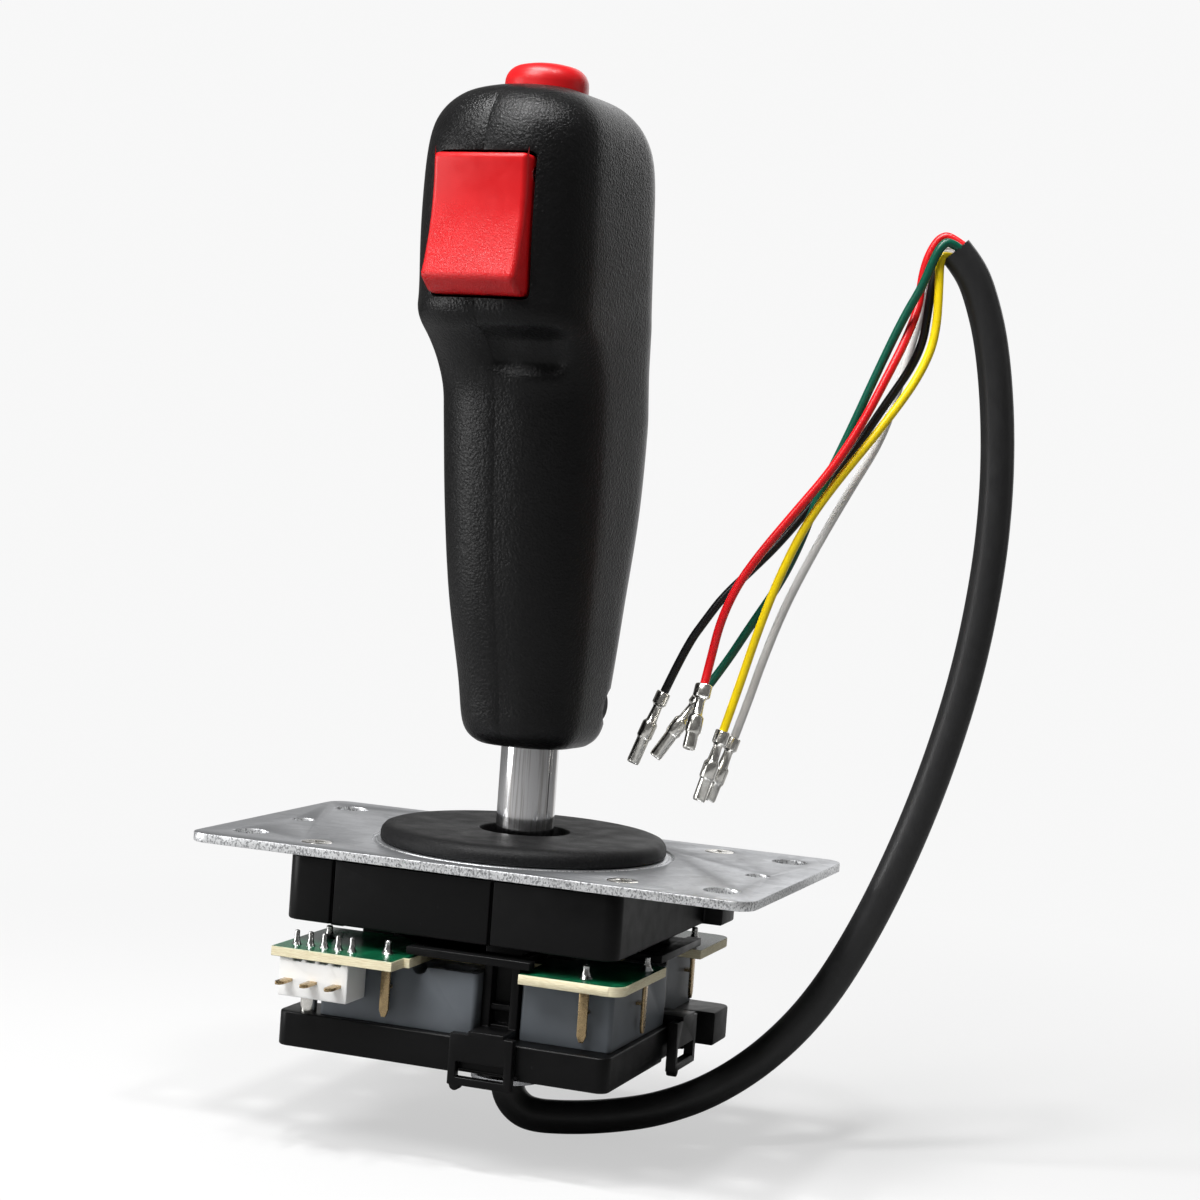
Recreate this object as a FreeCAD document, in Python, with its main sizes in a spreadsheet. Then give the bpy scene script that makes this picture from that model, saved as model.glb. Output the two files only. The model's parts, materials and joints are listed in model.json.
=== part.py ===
import FreeCAD, Part
import math
import os
import re
import Sketcher

# Lever with a moulded pistol grip, a trigger and a top button, on a four-switch base.
# Origin: centre of the mounting plate's top face. +Z runs up the shaft, +X along the
# plate's long side, -Y towards the trigger. All sizes are in millimetres.

doc = FreeCAD.newDocument("LeverAssembly")
sheet = doc.addObject("Spreadsheet::Sheet", "Sizes")

SIZES = [
    ("plate_length", 99.0, "mounting plate, along X"),
    ("plate_width", 58.0, "mounting plate, along Y"),
    ("plate_thickness", 1.6, "mounting plate"),
    ("plate_corner", 3.5, "corner radius of the plate"),
    ("panel_pitch_long", 84.0, "panel holes, along X"),
    ("panel_pitch_short", 40.0, "panel holes, along Y"),
    ("panel_hole_radius", 3.0, "panel holes"),
    ("tapped_hole_radius", 2.0, "two tapped holes on the long centre line"),
    ("plate_bore_radius", 9.0, "hole for the shaft in the plate"),
    ("coin_radius", 25.6, "pressed ring round the dust washer"),
    ("coin_width", 0.8, "pressed ring, across"),
    ("coin_depth", 0.3, "pressed ring, deep"),
    ("screw_spread_lug", 28.4, "two housing screws in the lugs, along X from the centre"),
    ("screw_spread_plain", 26.0, "the other two housing screws, along X from the centre"),
    ("screw_spread_short", 22.5, "housing screws from the centre, along Y"),
    ("screw_head_radius", 2.6, "countersunk head"),
    ("screw_shank_radius", 1.25, "housing screw shank"),
    ("screw_length", 8.0, "housing screw"),
    ("screw_play", 0.05, "screw in its countersink"),
    ("washer_radius", 24.6, "dust washer"),
    ("washer_thickness", 3.0, "dust washer"),
    ("washer_hole_radius", 7.75, "dust washer hole"),
    ("washer_bevel", 1.3, "dust washer outer edge"),
    ("housing_half", 27.6, "upper housing, half its size along X"),
    ("housing_front", 28.0, "upper housing, half its size along Y"),
    ("housing_height", 10.9, "upper housing"),
    ("housing_corner", 2.6, "upper housing vertical corners"),
    ("lug_reach", 31.0, "front left and back right lugs, from the centre"),
    ("lug_start", 18.5, "lugs, from the centre along Y"),
    ("mould_line", 0.35, "mould lines, wide and deep"),
    ("mould_line_left", 22.6, "left mould line from the centre"),
    ("mould_line_right", 5.6, "right mould line from the centre"),
    ("mould_line_end", 0.4, "mould lines, short of the housing's height"),
    ("socket_lip", 0.5, "opening over the bearing ring, inside its outer radius"),
    ("cover_thickness", 5.8, "bottom cover"),
    ("cover_opening", 9.2, "bottom cover opening, half its size"),
    ("cover_corner", 2.0, "bottom cover corners"),
    ("board_gap", 3.5, "housing underside to the circuit board"),
    ("board_thickness", 1.6, "circuit board"),
    ("board_reach", 29.6, "circuit board corners from the centre"),
    ("board_near", 7.0, "circuit board corner piece, near end"),
    ("board_inner", 14.0, "circuit board corner piece, inner side"),
    ("board_corner", 2.4, "circuit board corner radius"),
    ("board_bore_radius", 10.4, "hole in the circuit board"),
    ("board_nose", 34.5, "circuit board edge over the header"),
    ("board_play", 0.3, "post in the circuit board notch"),
    ("board_middle", 19.0, "circuit board middle, half its size"),
    ("board_overlap", 2.0, "corner pieces over the board's middle"),
    ("notch_reach", 21.0, "circuit board notch, front from the shaft"),
    ("switch_length", 27.8, "microswitch"),
    ("switch_depth", 15.9, "microswitch, towards the shaft"),
    ("switch_height", 10.3, "microswitch"),
    ("switch_face", 26.5, "microswitch outer face from the shaft"),
    ("switch_end", 24.0, "microswitch far end from the centre"),
    ("switch_corner", 0.8, "microswitch corner radius"),
    ("switch_notch", 1.3, "half round notch in the microswitch top"),
    ("notch_along", 17.5, "half round notch from the microswitch far end"),
    ("well_along", 20.0, "open well from the microswitch far end"),
    ("well_inset", 1.2, "open well from the microswitch face"),
    ("well_length", 5.8, "open well"),
    ("well_width", 4.0, "open well"),
    ("well_depth", 2.0, "open well"),
    ("plunger_radius", 1.5, "microswitch plunger"),
    ("plunger_reach", 2.0, "plunger standing out of its microswitch"),
    ("plunger_depth", 3.0, "plunger inside its microswitch"),
    ("plunger_play", 0.08, "plunger in its bore"),
    ("plunger_back", 0.8, "plunger from the end of its bore"),
    ("tab_width", 1.9, "terminal tab"),
    ("tab_thickness", 0.5, "terminal tab"),
    ("tab_standoff", 1.2, "terminal tab from the microswitch face"),
    ("tab_drop", 8.9, "terminal tab below the board"),
    ("tab_foot", 4.2, "terminal tab root below the board"),
    ("tab_play", 0.05, "terminal tab in its slot in the board"),
    ("tab_along", 12.2, "face tab from the microswitch far end"),
    ("tab_end_inset", 4.6, "end tab from the microswitch face"),
    ("solder_radius", 1.1, "solder blob"),
    ("solder_height", 2.2, "solder blob above the board"),
    ("post_play", 0.3, "post to the microswitches beside it"),
    ("post_front", 24.4, "post front from the shaft"),
    ("post_back", 13.0, "post back from the shaft"),
    ("post_groove", 2.4, "groove down the post, deep"),
    ("post_bar", 1.0, "bars across the post groove"),
    ("post_wall", 1.4, "post walls beside the groove"),
    ("post_bar_inset", 0.6, "bars behind the post front"),
    ("post_bar_low", 1.0, "lower bar above the post's foot"),
    ("post_bar_high", 4.4, "upper bar above the post's foot"),
    ("beam_left", 8.0, "frame beam, short end"),
    ("beam_right", 13.6, "frame beam, long end"),
    ("beam_thickness", 1.3, "frame beam"),
    ("beam_outer", 29.0, "frame beam outer side from the shaft"),
    ("beam_inner", 12.6, "frame beam inner side from the shaft"),
    ("beam_gap", 1.6, "frame beam below the housing"),
    ("beam_end", 2.0, "frame beam end bar"),
    ("beam_edge", 2.4, "frame beam outer bar"),
    ("beam_room", 6.0, "second opening in the frame beam"),
    ("frame_ring", 16.0, "middle sheet of the frame, half its size"),
    ("clip_start", 1.0, "clip, short end"),
    ("clip_width", 11.0, "clip"),
    ("clip_outer", 29.8, "clip outer side from the shaft"),
    ("clip_height", 7.4, "clip below the cover's top"),
    ("clip_foot", 0.9, "round foot on the clip"),
    ("clip_slot", 2.6, "slot in the clip"),
    ("clip_wall", 1.3, "clip bars"),
    ("clip_play", 0.15, "clip in the cover's notch"),
    ("clip_arm", 1.4, "arm from the post to the clip"),
    ("clip_arm_lift", 0.2, "arm above the cover's top level"),
    ("clip_side_play", 0.4, "clip in its groove, each side"),
    ("header_start", 28.2, "connector block, far side"),
    ("header_width", 12.4, "connector block"),
    ("header_depth", 7.2, "connector block"),
    ("header_height", 6.4, "connector block"),
    ("header_wall", 1.0, "connector block walls"),
    ("header_gap", 0.3, "connector block from the microswitch face"),
    ("blade_width", 1.6, "connector blade"),
    ("blade_thickness", 0.5, "connector blade"),
    ("blade_length", 11.0, "connector blade"),
    ("blade_pitch", 4.4, "connector blades"),
    ("blade_drop", 3.9, "connector blades below the board"),
    ("lead_pitch", 2.5, "soldered leads of the connector"),
    ("lead_radius", 0.45, "soldered lead"),
    ("lead_height", 2.4, "soldered lead above the board"),
    ("stud_radius", 1.4, "stud on the cover"),
    ("stud_height", 6.2, "stud on the cover"),
    ("stud_aside", 2.6, "stud beyond the microswitch far end"),
    ("stud_inset", 1.4, "stud behind the microswitch face"),
    ("pivot_depth", 9.0, "tilting centre below the plate's top"),
    ("ball_radius", 7.0, "pivot ball"),
    ("ball_half", 4.4, "pivot ball, half its height"),
    ("ring_thickness", 1.4, "bearing ring wall"),
    ("ring_half", 3.2, "bearing ring, half its height"),
    ("bearing_play", 0.05, "ball in ring and ring in housing"),
    ("shaft_radius", 5.0, "shaft above the pivot"),
    ("shaft_tail_radius", 4.0, "shaft below the pivot"),
    ("shaft_bore_radius", 3.3, "shaft bore for the cable"),
    ("shaft_top", 62.0, "shaft end inside the grip"),
    ("shaft_bottom", 40.6, "shaft end below the plate's top"),
    ("seat_radius", 6.6, "spring seat"),
    ("seat_thickness", 1.0, "spring seat"),
    ("spring_radius", 6.0, "centring spring, to the wire's centre"),
    ("spring_wire", 0.55, "centring spring wire radius"),
    ("spring_length", 3.6, "centring spring"),
    ("spring_turns", 2.0, "centring spring"),
    ("actuator_radius", 6.4, "switch actuator"),
    ("actuator_height", 7.0, "switch actuator"),
    ("actuator_bevel", 1.2, "switch actuator ends"),
    ("sleeve_radius", 5.2, "sleeve below the actuator"),
    ("clip_ring_radius", 6.2, "retaining ring"),
    ("clip_ring_thickness", 0.8, "retaining ring"),
    ("clip_ring_gap", 0.4, "retaining ring above the shaft end"),
    ("clip_ring_mouth", 3.6, "opening of the retaining ring"),
    ("bush_length", 8.0, "cable bush in the shaft"),
    ("cable_radius", 2.9, "cable jacket"),
    ("wire_radius", 0.75, "wire"),
    ("crimp_radius", 1.7, "terminal, crimp round the wire"),
    ("crimp_length", 2.6, "terminal, crimp round the wire"),
    ("neck_radius", 0.95, "terminal, neck"),
    ("neck_end", 5.0, "terminal, end of the neck from the foot"),
    ("barrel_radius", 1.45, "terminal, wide barrel"),
    ("barrel_end", 8.4, "terminal, end of the wide barrel from the foot"),
    ("tube_radius", 1.15, "terminal, tube to the open end"),
    ("terminal_step", 0.6, "terminal, length of each change of radius"),
    ("grip_turn", -6.5, "grip about the shaft, in degrees"),
    ("grip_wall", 2.6, "grip shell"),
    ("grip_hollow_start", 64.0, "grip hollow, lower end"),
    ("grip_hollow_end", 122.0, "grip hollow, upper end"),
    ("trigger_width", 15.6, "trigger"),
    ("trigger_top", 114.4, "trigger upper end"),
    ("trigger_base", 91.9, "trigger lower end"),
    ("trigger_lip", 95.8, "trigger lip height"),
    ("trigger_back", 24.2, "trigger back from the shaft"),
    ("trigger_face", 32.3, "trigger face at its top, from the shaft"),
    ("trigger_dish", 32.7, "trigger face at mid height, from the shaft"),
    ("trigger_lip_reach", 35.2, "trigger lip, from the shaft"),
    ("trigger_base_reach", 31.2, "trigger underside front, from the shaft"),
    ("trigger_round", 0.8, "trigger edges"),
    ("trigger_gap", 0.5, "trigger in its opening"),
    ("trigger_pin_height", 111.4, "trigger pin"),
    ("trigger_pin_reach", 27.8, "trigger pin from the shaft"),
    ("trigger_pin_radius", 1.0, "trigger pin"),
    ("trigger_pin_length", 19.0, "trigger pin"),
    ("trigger_pin_play", 0.06, "trigger on its pin"),
    ("trigger_switch_front", 21.2, "trigger switch front from the shaft"),
    ("trigger_switch_depth", 8.0, "trigger switch"),
    ("trigger_switch_half", 5.0, "trigger switch, half its width"),
    ("trigger_switch_low", 93.0, "trigger switch lower end"),
    ("trigger_switch_high", 104.0, "trigger switch upper end"),
    ("button_radius", 6.9, "top button"),
    ("button_setback", -11.0, "top button from the shaft"),
    ("button_top", 131.6, "top button upper face"),
    ("button_round", 1.8, "top button edge"),
    ("button_play", 0.25, "top button in its hole"),
    ("button_flange_radius", 8.6, "top button flange"),
    ("button_flange", 1.4, "top button flange"),
    ("button_flange_gap", 0.3, "top button flange below the shell"),
    ("button_travel", 2.2, "top button"),
    ("button_switch_half", 4.6, "top switch, half its size"),
    ("button_switch_height", 6.0, "top switch"),
    ("button_switch_gap", 0.5, "pressed button to the top switch"),
    ("grip_screw_radius", 1.4, "grip screw shank"),
    ("grip_screw_head", 2.7, "grip screw head"),
    ("grip_screw_head_depth", 2.0, "grip screw head"),
    ("grip_screw_hole", 3.1, "grip screw hole"),
    ("grip_screw_sink", 4.0, "grip screw head below the grip's side"),
    ("grip_screw_length", 16.0, "grip screw"),
    ("upper_screw_height", 47.5, "upper grip screw"),
    ("upper_screw_reach", -9.0, "upper grip screw from the shaft"),
    ("lower_screw_height", 25.0, "lower grip screw"),
    ("lower_screw_reach", 7.4, "lower grip screw from the shaft"),
]

# Grip stations from the bottom up: height, half width, reach to the front, reach to the
# back, and corner radius of the section there.
STATIONS = [
    ("sole", 17.6, 7.8, 8.6, 9.4, 6.4),
    ("foot", 20.4, 10.6, 11.6, 12.0, 8.5),
    ("shin", 29.0, 11.8, 13.2, 13.2, 9.5),
    ("calf", 43.0, 13.3, 16.9, 14.2, 11.0),
    ("waist", 58.0, 14.4, 19.2, 15.8, 12.0),
    ("palm", 72.0, 14.9, 20.9, 16.0, 12.4),
    ("neck", 77.5, 15.0, 21.8, 15.4, 12.5),
    ("ledge", 85.0, 15.6, 27.8, 13.6, 12.5),
    ("chin", 90.0, 15.8, 30.0, 12.6, 12.4),
    ("cheek", 104.0, 15.9, 31.0, 10.8, 12.3),
    ("brow", 116.0, 15.5, 30.8, 9.8, 12.0),
    ("crown", 122.6, 14.2, 29.4, 7.4, 11.2),
    ("top", 126.5, 10.9, 25.8, 3.4, 9.0),
    ("tip", 128.4, 6.0, 20.0, -2.4, 5.4),
]
STATION_PARTS = ("height", "half", "front", "back", "corner")

row = 0
for alias, value, note in SIZES:
    row = row + 1
    sheet.set(f"A{row}", note)
    sheet.set(f"B{row}", str(value))
    sheet.setAlias(f"B{row}", alias)
for station in STATIONS:
    for part_name, value in zip(STATION_PARTS, station[1:]):
        row = row + 1
        sheet.set(f"A{row}", f"grip {station[0]} {part_name}")
        sheet.set(f"B{row}", str(value))
        sheet.setAlias(f"B{row}", f"grip_{station[0]}_{part_name}")
doc.recompute()

NAMES = {alias for alias, value, note in SIZES}
WORD = re.compile(r"[a-z][a-z_]*[a-z]")
AXES = ("x", "y", "z")
kept = []


def size(alias):
    """Value of one cell of the sheet."""
    return float(getattr(sheet, alias))


def formula(text):
    """Sheet formula for a text that uses the short names of the cells."""
    return WORD.sub(lambda word: "Sizes." + word.group() if word.group() in NAMES else word.group(), text)


def bind(thing, path, text):
    thing.setExpression(path, formula(text))


def keep(thing, label):
    """Mark a finished sub-part and name it."""
    thing.Label = label
    kept.append(thing)
    return thing


# Levels below the plate's top, as sheet formulas.
HOUSING_TOP = "0 - plate_thickness"
HOUSING_BOTTOM = "0 - plate_thickness - housing_height"
BOARD_TOP = HOUSING_BOTTOM + " - board_gap"
BOARD_BOTTOM = BOARD_TOP + " - board_thickness"
COVER_TOP = BOARD_BOTTOM + " - switch_height"
COVER_BOTTOM = COVER_TOP + " - cover_thickness"
BEAM_BOTTOM = HOUSING_BOTTOM + " - beam_gap - beam_thickness"


def level(text):
    """Number for one of the levels above, by the same sum."""
    total = 0.0
    for word in text.replace(" ", "").lstrip("0").split("-"):
        if word:
            total = total - size(word)
    return total


def box(name, low, span):
    """Box from its low corner and spans, all as sheet formulas."""
    solid = doc.addObject("Part::Box", name)
    for axis, text in zip(AXES, low):
        bind(solid, "Placement.Base." + axis, text)
    for path, text in zip(("Length", "Width", "Height"), span):
        bind(solid, path, text)
    return solid


def cylinder(name, radius, height, base, direction=(0, 0, 1)):
    """Cylinder from its radius, height and foot, standing along a direction."""
    solid = doc.addObject("Part::Cylinder", name)
    turn = FreeCAD.Rotation(FreeCAD.Vector(0, 0, 1), FreeCAD.Vector(*direction))
    solid.Placement = FreeCAD.Placement(FreeCAD.Vector(0, 0, 0), turn)
    for axis, text in zip(AXES, base):
        bind(solid, "Placement.Base." + axis, text)
    bind(solid, "Radius", radius)
    bind(solid, "Height", height)
    return solid


def sphere(name, radius, height):
    solid = doc.addObject("Part::Sphere", name)
    bind(solid, "Radius", radius)
    bind(solid, "Placement.Base.z", height)
    return solid


def fuse(name, solids):
    if len(solids) == 1:
        return solids[0]
    joined = doc.addObject("Part::MultiFuse", name)
    joined.Shapes = solids
    return joined


def cut(name, base, tools):
    result = doc.addObject("Part::Cut", name)
    result.Base = base
    result.Tool = fuse(name + "Tools", tools)
    return result


def quarter(solid, turns):
    """Turn a solid about the shaft by quarter turns. A bound solid is turned inside a carrier."""
    if solid.ExpressionEngine:
        carrier = doc.addObject("Part::Compound", solid.Name + "Turn")
        carrier.Links = [solid]
        solid = carrier
    turn = FreeCAD.Rotation(FreeCAD.Vector(0, 0, 1), 90 * turns)
    solid.Placement = FreeCAD.Placement(FreeCAD.Vector(0, 0, 0), turn)
    return solid


def rounded(name, solid, radius, test):
    """Round the straight or round edges of a solid that pass the test."""
    doc.recompute()
    result = doc.addObject("Part::Fillet", name)
    result.Base = solid
    chosen = [index for index, edge in enumerate(solid.Shape.Edges, start=1) if test(edge)]
    result.Edges = [(index, size(radius), size(radius)) for index in chosen]
    return result


def upright(edge):
    """True for a straight edge along Z."""
    first = edge.Vertexes[0].Point
    last = edge.Vertexes[-1].Point
    return math.hypot(last.x - first.x, last.y - first.y) < 1e-6 and abs(last.z - first.z) > 1e-6


def origin_plane(body, role):
    return next(item for item in body.Origin.OriginFeatures if item.Role == role)


def outline(body, role, corners):
    """Closed straight outline in one of the body's origin planes, each corner bound to the sheet."""
    sketch = body.newObject("Sketcher::SketchObject", body.Name + "Outline")
    sketch.AttachmentSupport = (origin_plane(body, role), "")
    sketch.MapMode = "FlatFace"
    count = len(corners)
    rough = [(math.cos(2 * math.pi * index / count) + 2, math.sin(2 * math.pi * index / count) + 2)
             for index in range(count)]
    for index in range(count):
        start = FreeCAD.Vector(*rough[index], 0)
        end = FreeCAD.Vector(*rough[(index + 1) % count], 0)
        sketch.addGeometry(Part.LineSegment(start, end), False)
    for index in range(count):
        sketch.addConstraint(Sketcher.Constraint("Coincident", index, 2, (index + 1) % count, 1))
    for index, (across, up) in enumerate(corners):
        for kind, axis, text, rough_value in (("DistanceX", -2, across, rough[index][0]),
                                              ("DistanceY", -1, up, rough[index][1])):
            if text == "0":
                sketch.addConstraint(Sketcher.Constraint("PointOnObject", index, 1, axis))
            else:
                spot = sketch.addConstraint(Sketcher.Constraint(kind, -1, 1, index, 1, rough_value))
                bind(sketch, f"Constraints[{spot}]", text)
    return sketch


def turned(name, corners):
    """Body turned about its Z axis from radius and height pairs."""
    body = doc.addObject("PartDesign::Body", name)
    sketch = outline(body, "XZ_Plane", corners)
    feature = body.newObject("PartDesign::Revolution", name + "Turning")
    feature.Profile = sketch
    feature.ReferenceAxis = (sketch, ["V_Axis"])
    feature.Angle = 360
    sketch.Visibility = False
    return body


def padded(name, corners, low, thickness):
    """Body padded up from a level, with its outline in the XY plane."""
    body = doc.addObject("PartDesign::Body", name)
    sketch = outline(body, "XY_Plane", corners)
    bind(sketch, "AttachmentOffset.Base.z", low)
    feature = body.newObject("PartDesign::Pad", name + "Pad")
    feature.Profile = sketch
    bind(feature, "Length", thickness)
    return body


def ease(body, radius, test):
    """Fillet the edges of a body's last feature that pass the test."""
    doc.recompute()
    base = body.Tip
    names = [f"Edge{index}" for index, edge in enumerate(base.Shape.Edges, start=1) if test(edge)]
    feature = body.newObject("PartDesign::Fillet", base.Name + "Ease")
    feature.Base = (base, names)
    bind(feature, "Radius", radius)
    return feature


def rectangle(half_across, half_up):
    """Corners of a rectangle about the origin."""
    return [("0 - " + half_across, "0 - " + half_up), (half_across, "0 - " + half_up),
            (half_across, half_up), ("0 - " + half_across, half_up)]


def pierce(body, radius, spots, name):
    """Holes right through a plate body that lies under the XY plane."""
    sketch = body.newObject("Sketcher::SketchObject", name + "Spots")
    sketch.AttachmentSupport = (origin_plane(body, "XY_Plane"), "")
    sketch.MapMode = "FlatFace"
    for index, (across, up) in enumerate(spots):
        centre = FreeCAD.Vector(index * 12 + 1, index * 7 + 1, 0)
        sketch.addGeometry(Part.Circle(centre, FreeCAD.Vector(0, 0, 1), 1.0), False)
        ring = sketch.addConstraint(Sketcher.Constraint("Radius", index, 1.0))
        bind(sketch, f"Constraints[{ring}]", radius)
        for kind, axis, text, rough_value in (("DistanceX", -2, across, centre.x),
                                              ("DistanceY", -1, up, centre.y)):
            if text == "0":
                sketch.addConstraint(Sketcher.Constraint("PointOnObject", index, 3, axis))
            else:
                spot = sketch.addConstraint(Sketcher.Constraint(kind, -1, 1, index, 3, rough_value))
                bind(sketch, f"Constraints[{spot}]", text)
    feature = body.newObject("PartDesign::Pocket", name)
    feature.Profile = sketch
    feature.Type = "ThroughAll"
    feature.Midplane = True
    return feature


SIGNS = [(-1, -1), (1, -1), (1, 1), (-1, 1)]
SIGN_TEXT = {-1: "0 - ", 1: ""}


def four_spots(across, up):
    return [(SIGN_TEXT[left] + across, SIGN_TEXT[low] + up) for left, low in SIGNS]


def screw_spots():
    """Housing screws, two of them in the lugs, from the front left round to the back left."""
    return [("0 - screw_spread_lug", "0 - screw_spread_short"), ("screw_spread_plain", "0 - screw_spread_short"),
            ("screw_spread_lug", "screw_spread_short"), ("0 - screw_spread_plain", "screw_spread_short")]


def mounting_plate():
    body = padded("MountingPlate", rectangle("plate_length / 2", "plate_width / 2"),
                  "0 - plate_thickness", "plate_thickness")
    ease(body, "plate_corner", upright)
    pierce(body, "panel_hole_radius", four_spots("panel_pitch_long / 2", "panel_pitch_short / 2"), "PanelHoles")
    pierce(body, "tapped_hole_radius", [("0 - panel_pitch_long / 2", "0"), ("panel_pitch_long / 2", "0")],
           "TappedHoles")
    pierce(body, "plate_bore_radius", [("0", "0")], "ShaftHole")
    outer = cylinder("CoinOuter", "coin_radius + coin_width / 2", "coin_depth", ("0", "0", "0 - coin_depth"))
    inner = cylinder("CoinInner", "coin_radius - coin_width / 2", "coin_depth", ("0", "0", "0 - coin_depth"))
    sinks = []
    for index, (across, up) in enumerate(screw_spots()):
        cone = doc.addObject("Part::Cone", f"ScrewSink{index}")
        bind(cone, "Radius1", "screw_shank_radius + screw_play")
        bind(cone, "Radius2", "screw_head_radius + screw_play")
        bind(cone, "Height", "plate_thickness")
        for axis, text in zip(AXES, (across, up, "0 - plate_thickness")):
            bind(cone, "Placement.Base." + axis, text)
        sinks.append(cone)
    keep(cut("PlateWithCoin", body, [cut("CoinRing", outer, [inner])] + sinks), "mounting_plate")


def dust_washer():
    body = turned("DustWasher", [
        ("washer_hole_radius", "0"),
        ("washer_radius", "0"),
        ("washer_radius", "washer_thickness - washer_bevel"),
        ("washer_radius - washer_bevel", "washer_thickness"),
        ("washer_hole_radius", "washer_thickness"),
    ])
    keep(body, "dust_washer")


def plate_screws():
    places = zip(("front_left", "front_right", "back_right", "back_left"),
                 screw_spots())
    for side, (across, up) in places:
        body = turned("PlateScrew_" + side, [
            ("0", "0 - screw_length"),
            ("screw_shank_radius", "0 - screw_length"),
            ("screw_shank_radius", "0 - plate_thickness"),
            ("screw_head_radius", "0"),
            ("0", "0"),
        ])
        bind(body, "Placement.Base.x", across)
        bind(body, "Placement.Base.y", up)
        keep(body, "plate_screw_" + side)


def base_outline():
    """Outline that the upper housing and the bottom cover share: a square with two lugs."""
    return [
        ("0 - lug_reach", "0 - housing_front"),
        ("housing_half", "0 - housing_front"),
        ("housing_half", "lug_start"),
        ("lug_reach", "lug_start"),
        ("lug_reach", "housing_front"),
        ("0 - housing_half", "housing_front"),
        ("0 - housing_half", "0 - lug_start"),
        ("0 - lug_reach", "0 - lug_start"),
    ]


def outer_corner(edge):
    """True for the upright edges on the four outer corners of the base outline."""
    spot = edge.Vertexes[0].Point
    return upright(edge) and abs(abs(spot.y) - size("housing_front")) < 1e-6


def upper_housing():
    body = padded("UpperHousing", base_outline(), HOUSING_BOTTOM, "housing_height")
    ease(body, "housing_corner", outer_corner)
    ball_room = sphere("RingRoom", "ball_radius + ring_thickness + bearing_play * 2", "0 - pivot_depth")
    shaft_room = cylinder("ShaftRoom", "ball_radius + ring_thickness - socket_lip", "pivot_depth",
                          ("0", "0", "0 - pivot_depth"))
    tools = [ball_room, shaft_room]
    for index, (across, up) in enumerate(screw_spots()):
        tools.append(cylinder(f"ScrewBore{index}", "screw_shank_radius", "screw_length",
                              (across, up, "0 - screw_length")))
    for index, place in enumerate(("0 - mould_line_left", "mould_line_right")):
        for side in (0, 2):
            line = box(f"MouldLine{index}{side}",
                       (place, "0 - housing_front", HOUSING_BOTTOM),
                       ("mould_line", "mould_line", "housing_height - mould_line_end"))
            tools.append(quarter(line, side))
    keep(cut("HousingWithSocket", body, tools), "upper_housing")


def corner_piece(index, turns):
    """One of the four corner pieces of the circuit board, turned about the shaft."""
    piece = box(f"BoardCorner{index}", ("0 - board_reach", "0 - board_reach", BOARD_BOTTOM),
                ("board_reach - board_near", "board_reach - board_inner + board_overlap", "board_thickness"))
    eased = rounded(f"BoardCornerRound{index}", piece, "board_corner",
                    lambda edge: upright(edge) and edge.Vertexes[0].Point.y < -size("board_inner") - 3
                    and edge.Vertexes[0].Point.x < -size("board_inner"))
    return quarter(eased, turns)


FACE_TAB_ALONG = "(tab_along - switch_end)"
FACE_TAB_OUT = "(0 - switch_face - tab_standoff)"
END_TAB_OUT = "(0 - switch_end - tab_standoff)"
END_TAB_ALONG = "(tab_end_inset - switch_face)"


def tab_slot(name, across, out, along_face):
    """Slot through the circuit board for one terminal tab."""
    wide = ("tab_width", "tab_thickness") if along_face else ("tab_thickness", "tab_width")
    return box(name, (f"{across} - {wide[0]} / 2 - tab_play", f"{out} - {wide[1]} / 2 - tab_play", BOARD_BOTTOM),
               (wide[0] + " + tab_play * 2", wide[1] + " + tab_play * 2", "board_thickness"))


def circuit_board():
    pieces = [corner_piece(turns, turns) for turns in range(4)]
    pieces.append(box("BoardCentre", ("0 - board_middle", "0 - board_middle", BOARD_BOTTOM),
                      ("board_middle * 2", "board_middle * 2", "board_thickness")))
    pieces.append(box("BoardNose", ("0 - board_reach", "0 - board_nose", BOARD_BOTTOM),
                      ("board_reach - board_near - 1", "board_nose - board_inner", "board_thickness")))
    tools = [cylinder("BoardBore", "board_bore_radius", "board_thickness", ("0", "0", BOARD_BOTTOM))]
    for turns in range(4):
        notch = box(f"BoardNotch{turns}",
                    ("switch_length - switch_end", "0 - notch_reach", BOARD_BOTTOM),
                    ("switch_face - switch_depth - switch_length + switch_end",
                     "notch_reach - post_back + board_play", "board_thickness"))
        tools.append(quarter(notch, turns))
        face = tab_slot(f"FaceSlot{turns}", FACE_TAB_ALONG, FACE_TAB_OUT, True)
        end = tab_slot(f"EndSlot{turns}", END_TAB_OUT, END_TAB_ALONG, False)
        tools.append(quarter(face, turns))
        tools.append(quarter(end, turns))
    keep(cut("BoardWithHoles", fuse("BoardSheet", pieces), tools), "circuit_board")


SIDES = ("front", "right", "back", "left")


def microswitches():
    for turns, side in enumerate(SIDES):
        case = box("SwitchCase_" + side, ("0 - switch_end", "0 - switch_face", COVER_TOP),
                   ("switch_length", "switch_depth", "switch_height"))
        eased = rounded("SwitchRound_" + side, case, "switch_corner", upright)
        notch = cylinder("SwitchNotch_" + side, "switch_notch", "switch_depth / 3",
                         ("0 - switch_end + notch_along", "0 - switch_face", BOARD_BOTTOM), (0, 1, 0))
        well = box("SwitchWell_" + side,
                   ("0 - switch_end + well_along", "0 - switch_face + well_inset", BOARD_BOTTOM + " - well_depth"),
                   ("well_length", "well_width", "well_depth + 1"))
        bore = cylinder("SwitchBore_" + side, "plunger_radius + plunger_play", "plunger_depth + 2",
                        ("0", "0 - switch_face + switch_depth - plunger_depth - 1",
                         COVER_TOP + " + switch_height / 2"), (0, 1, 0))
        case = cut("Microswitch_" + side, eased, [notch, well, bore])
        keep(quarter(case, turns), "microswitch_" + side)


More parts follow.
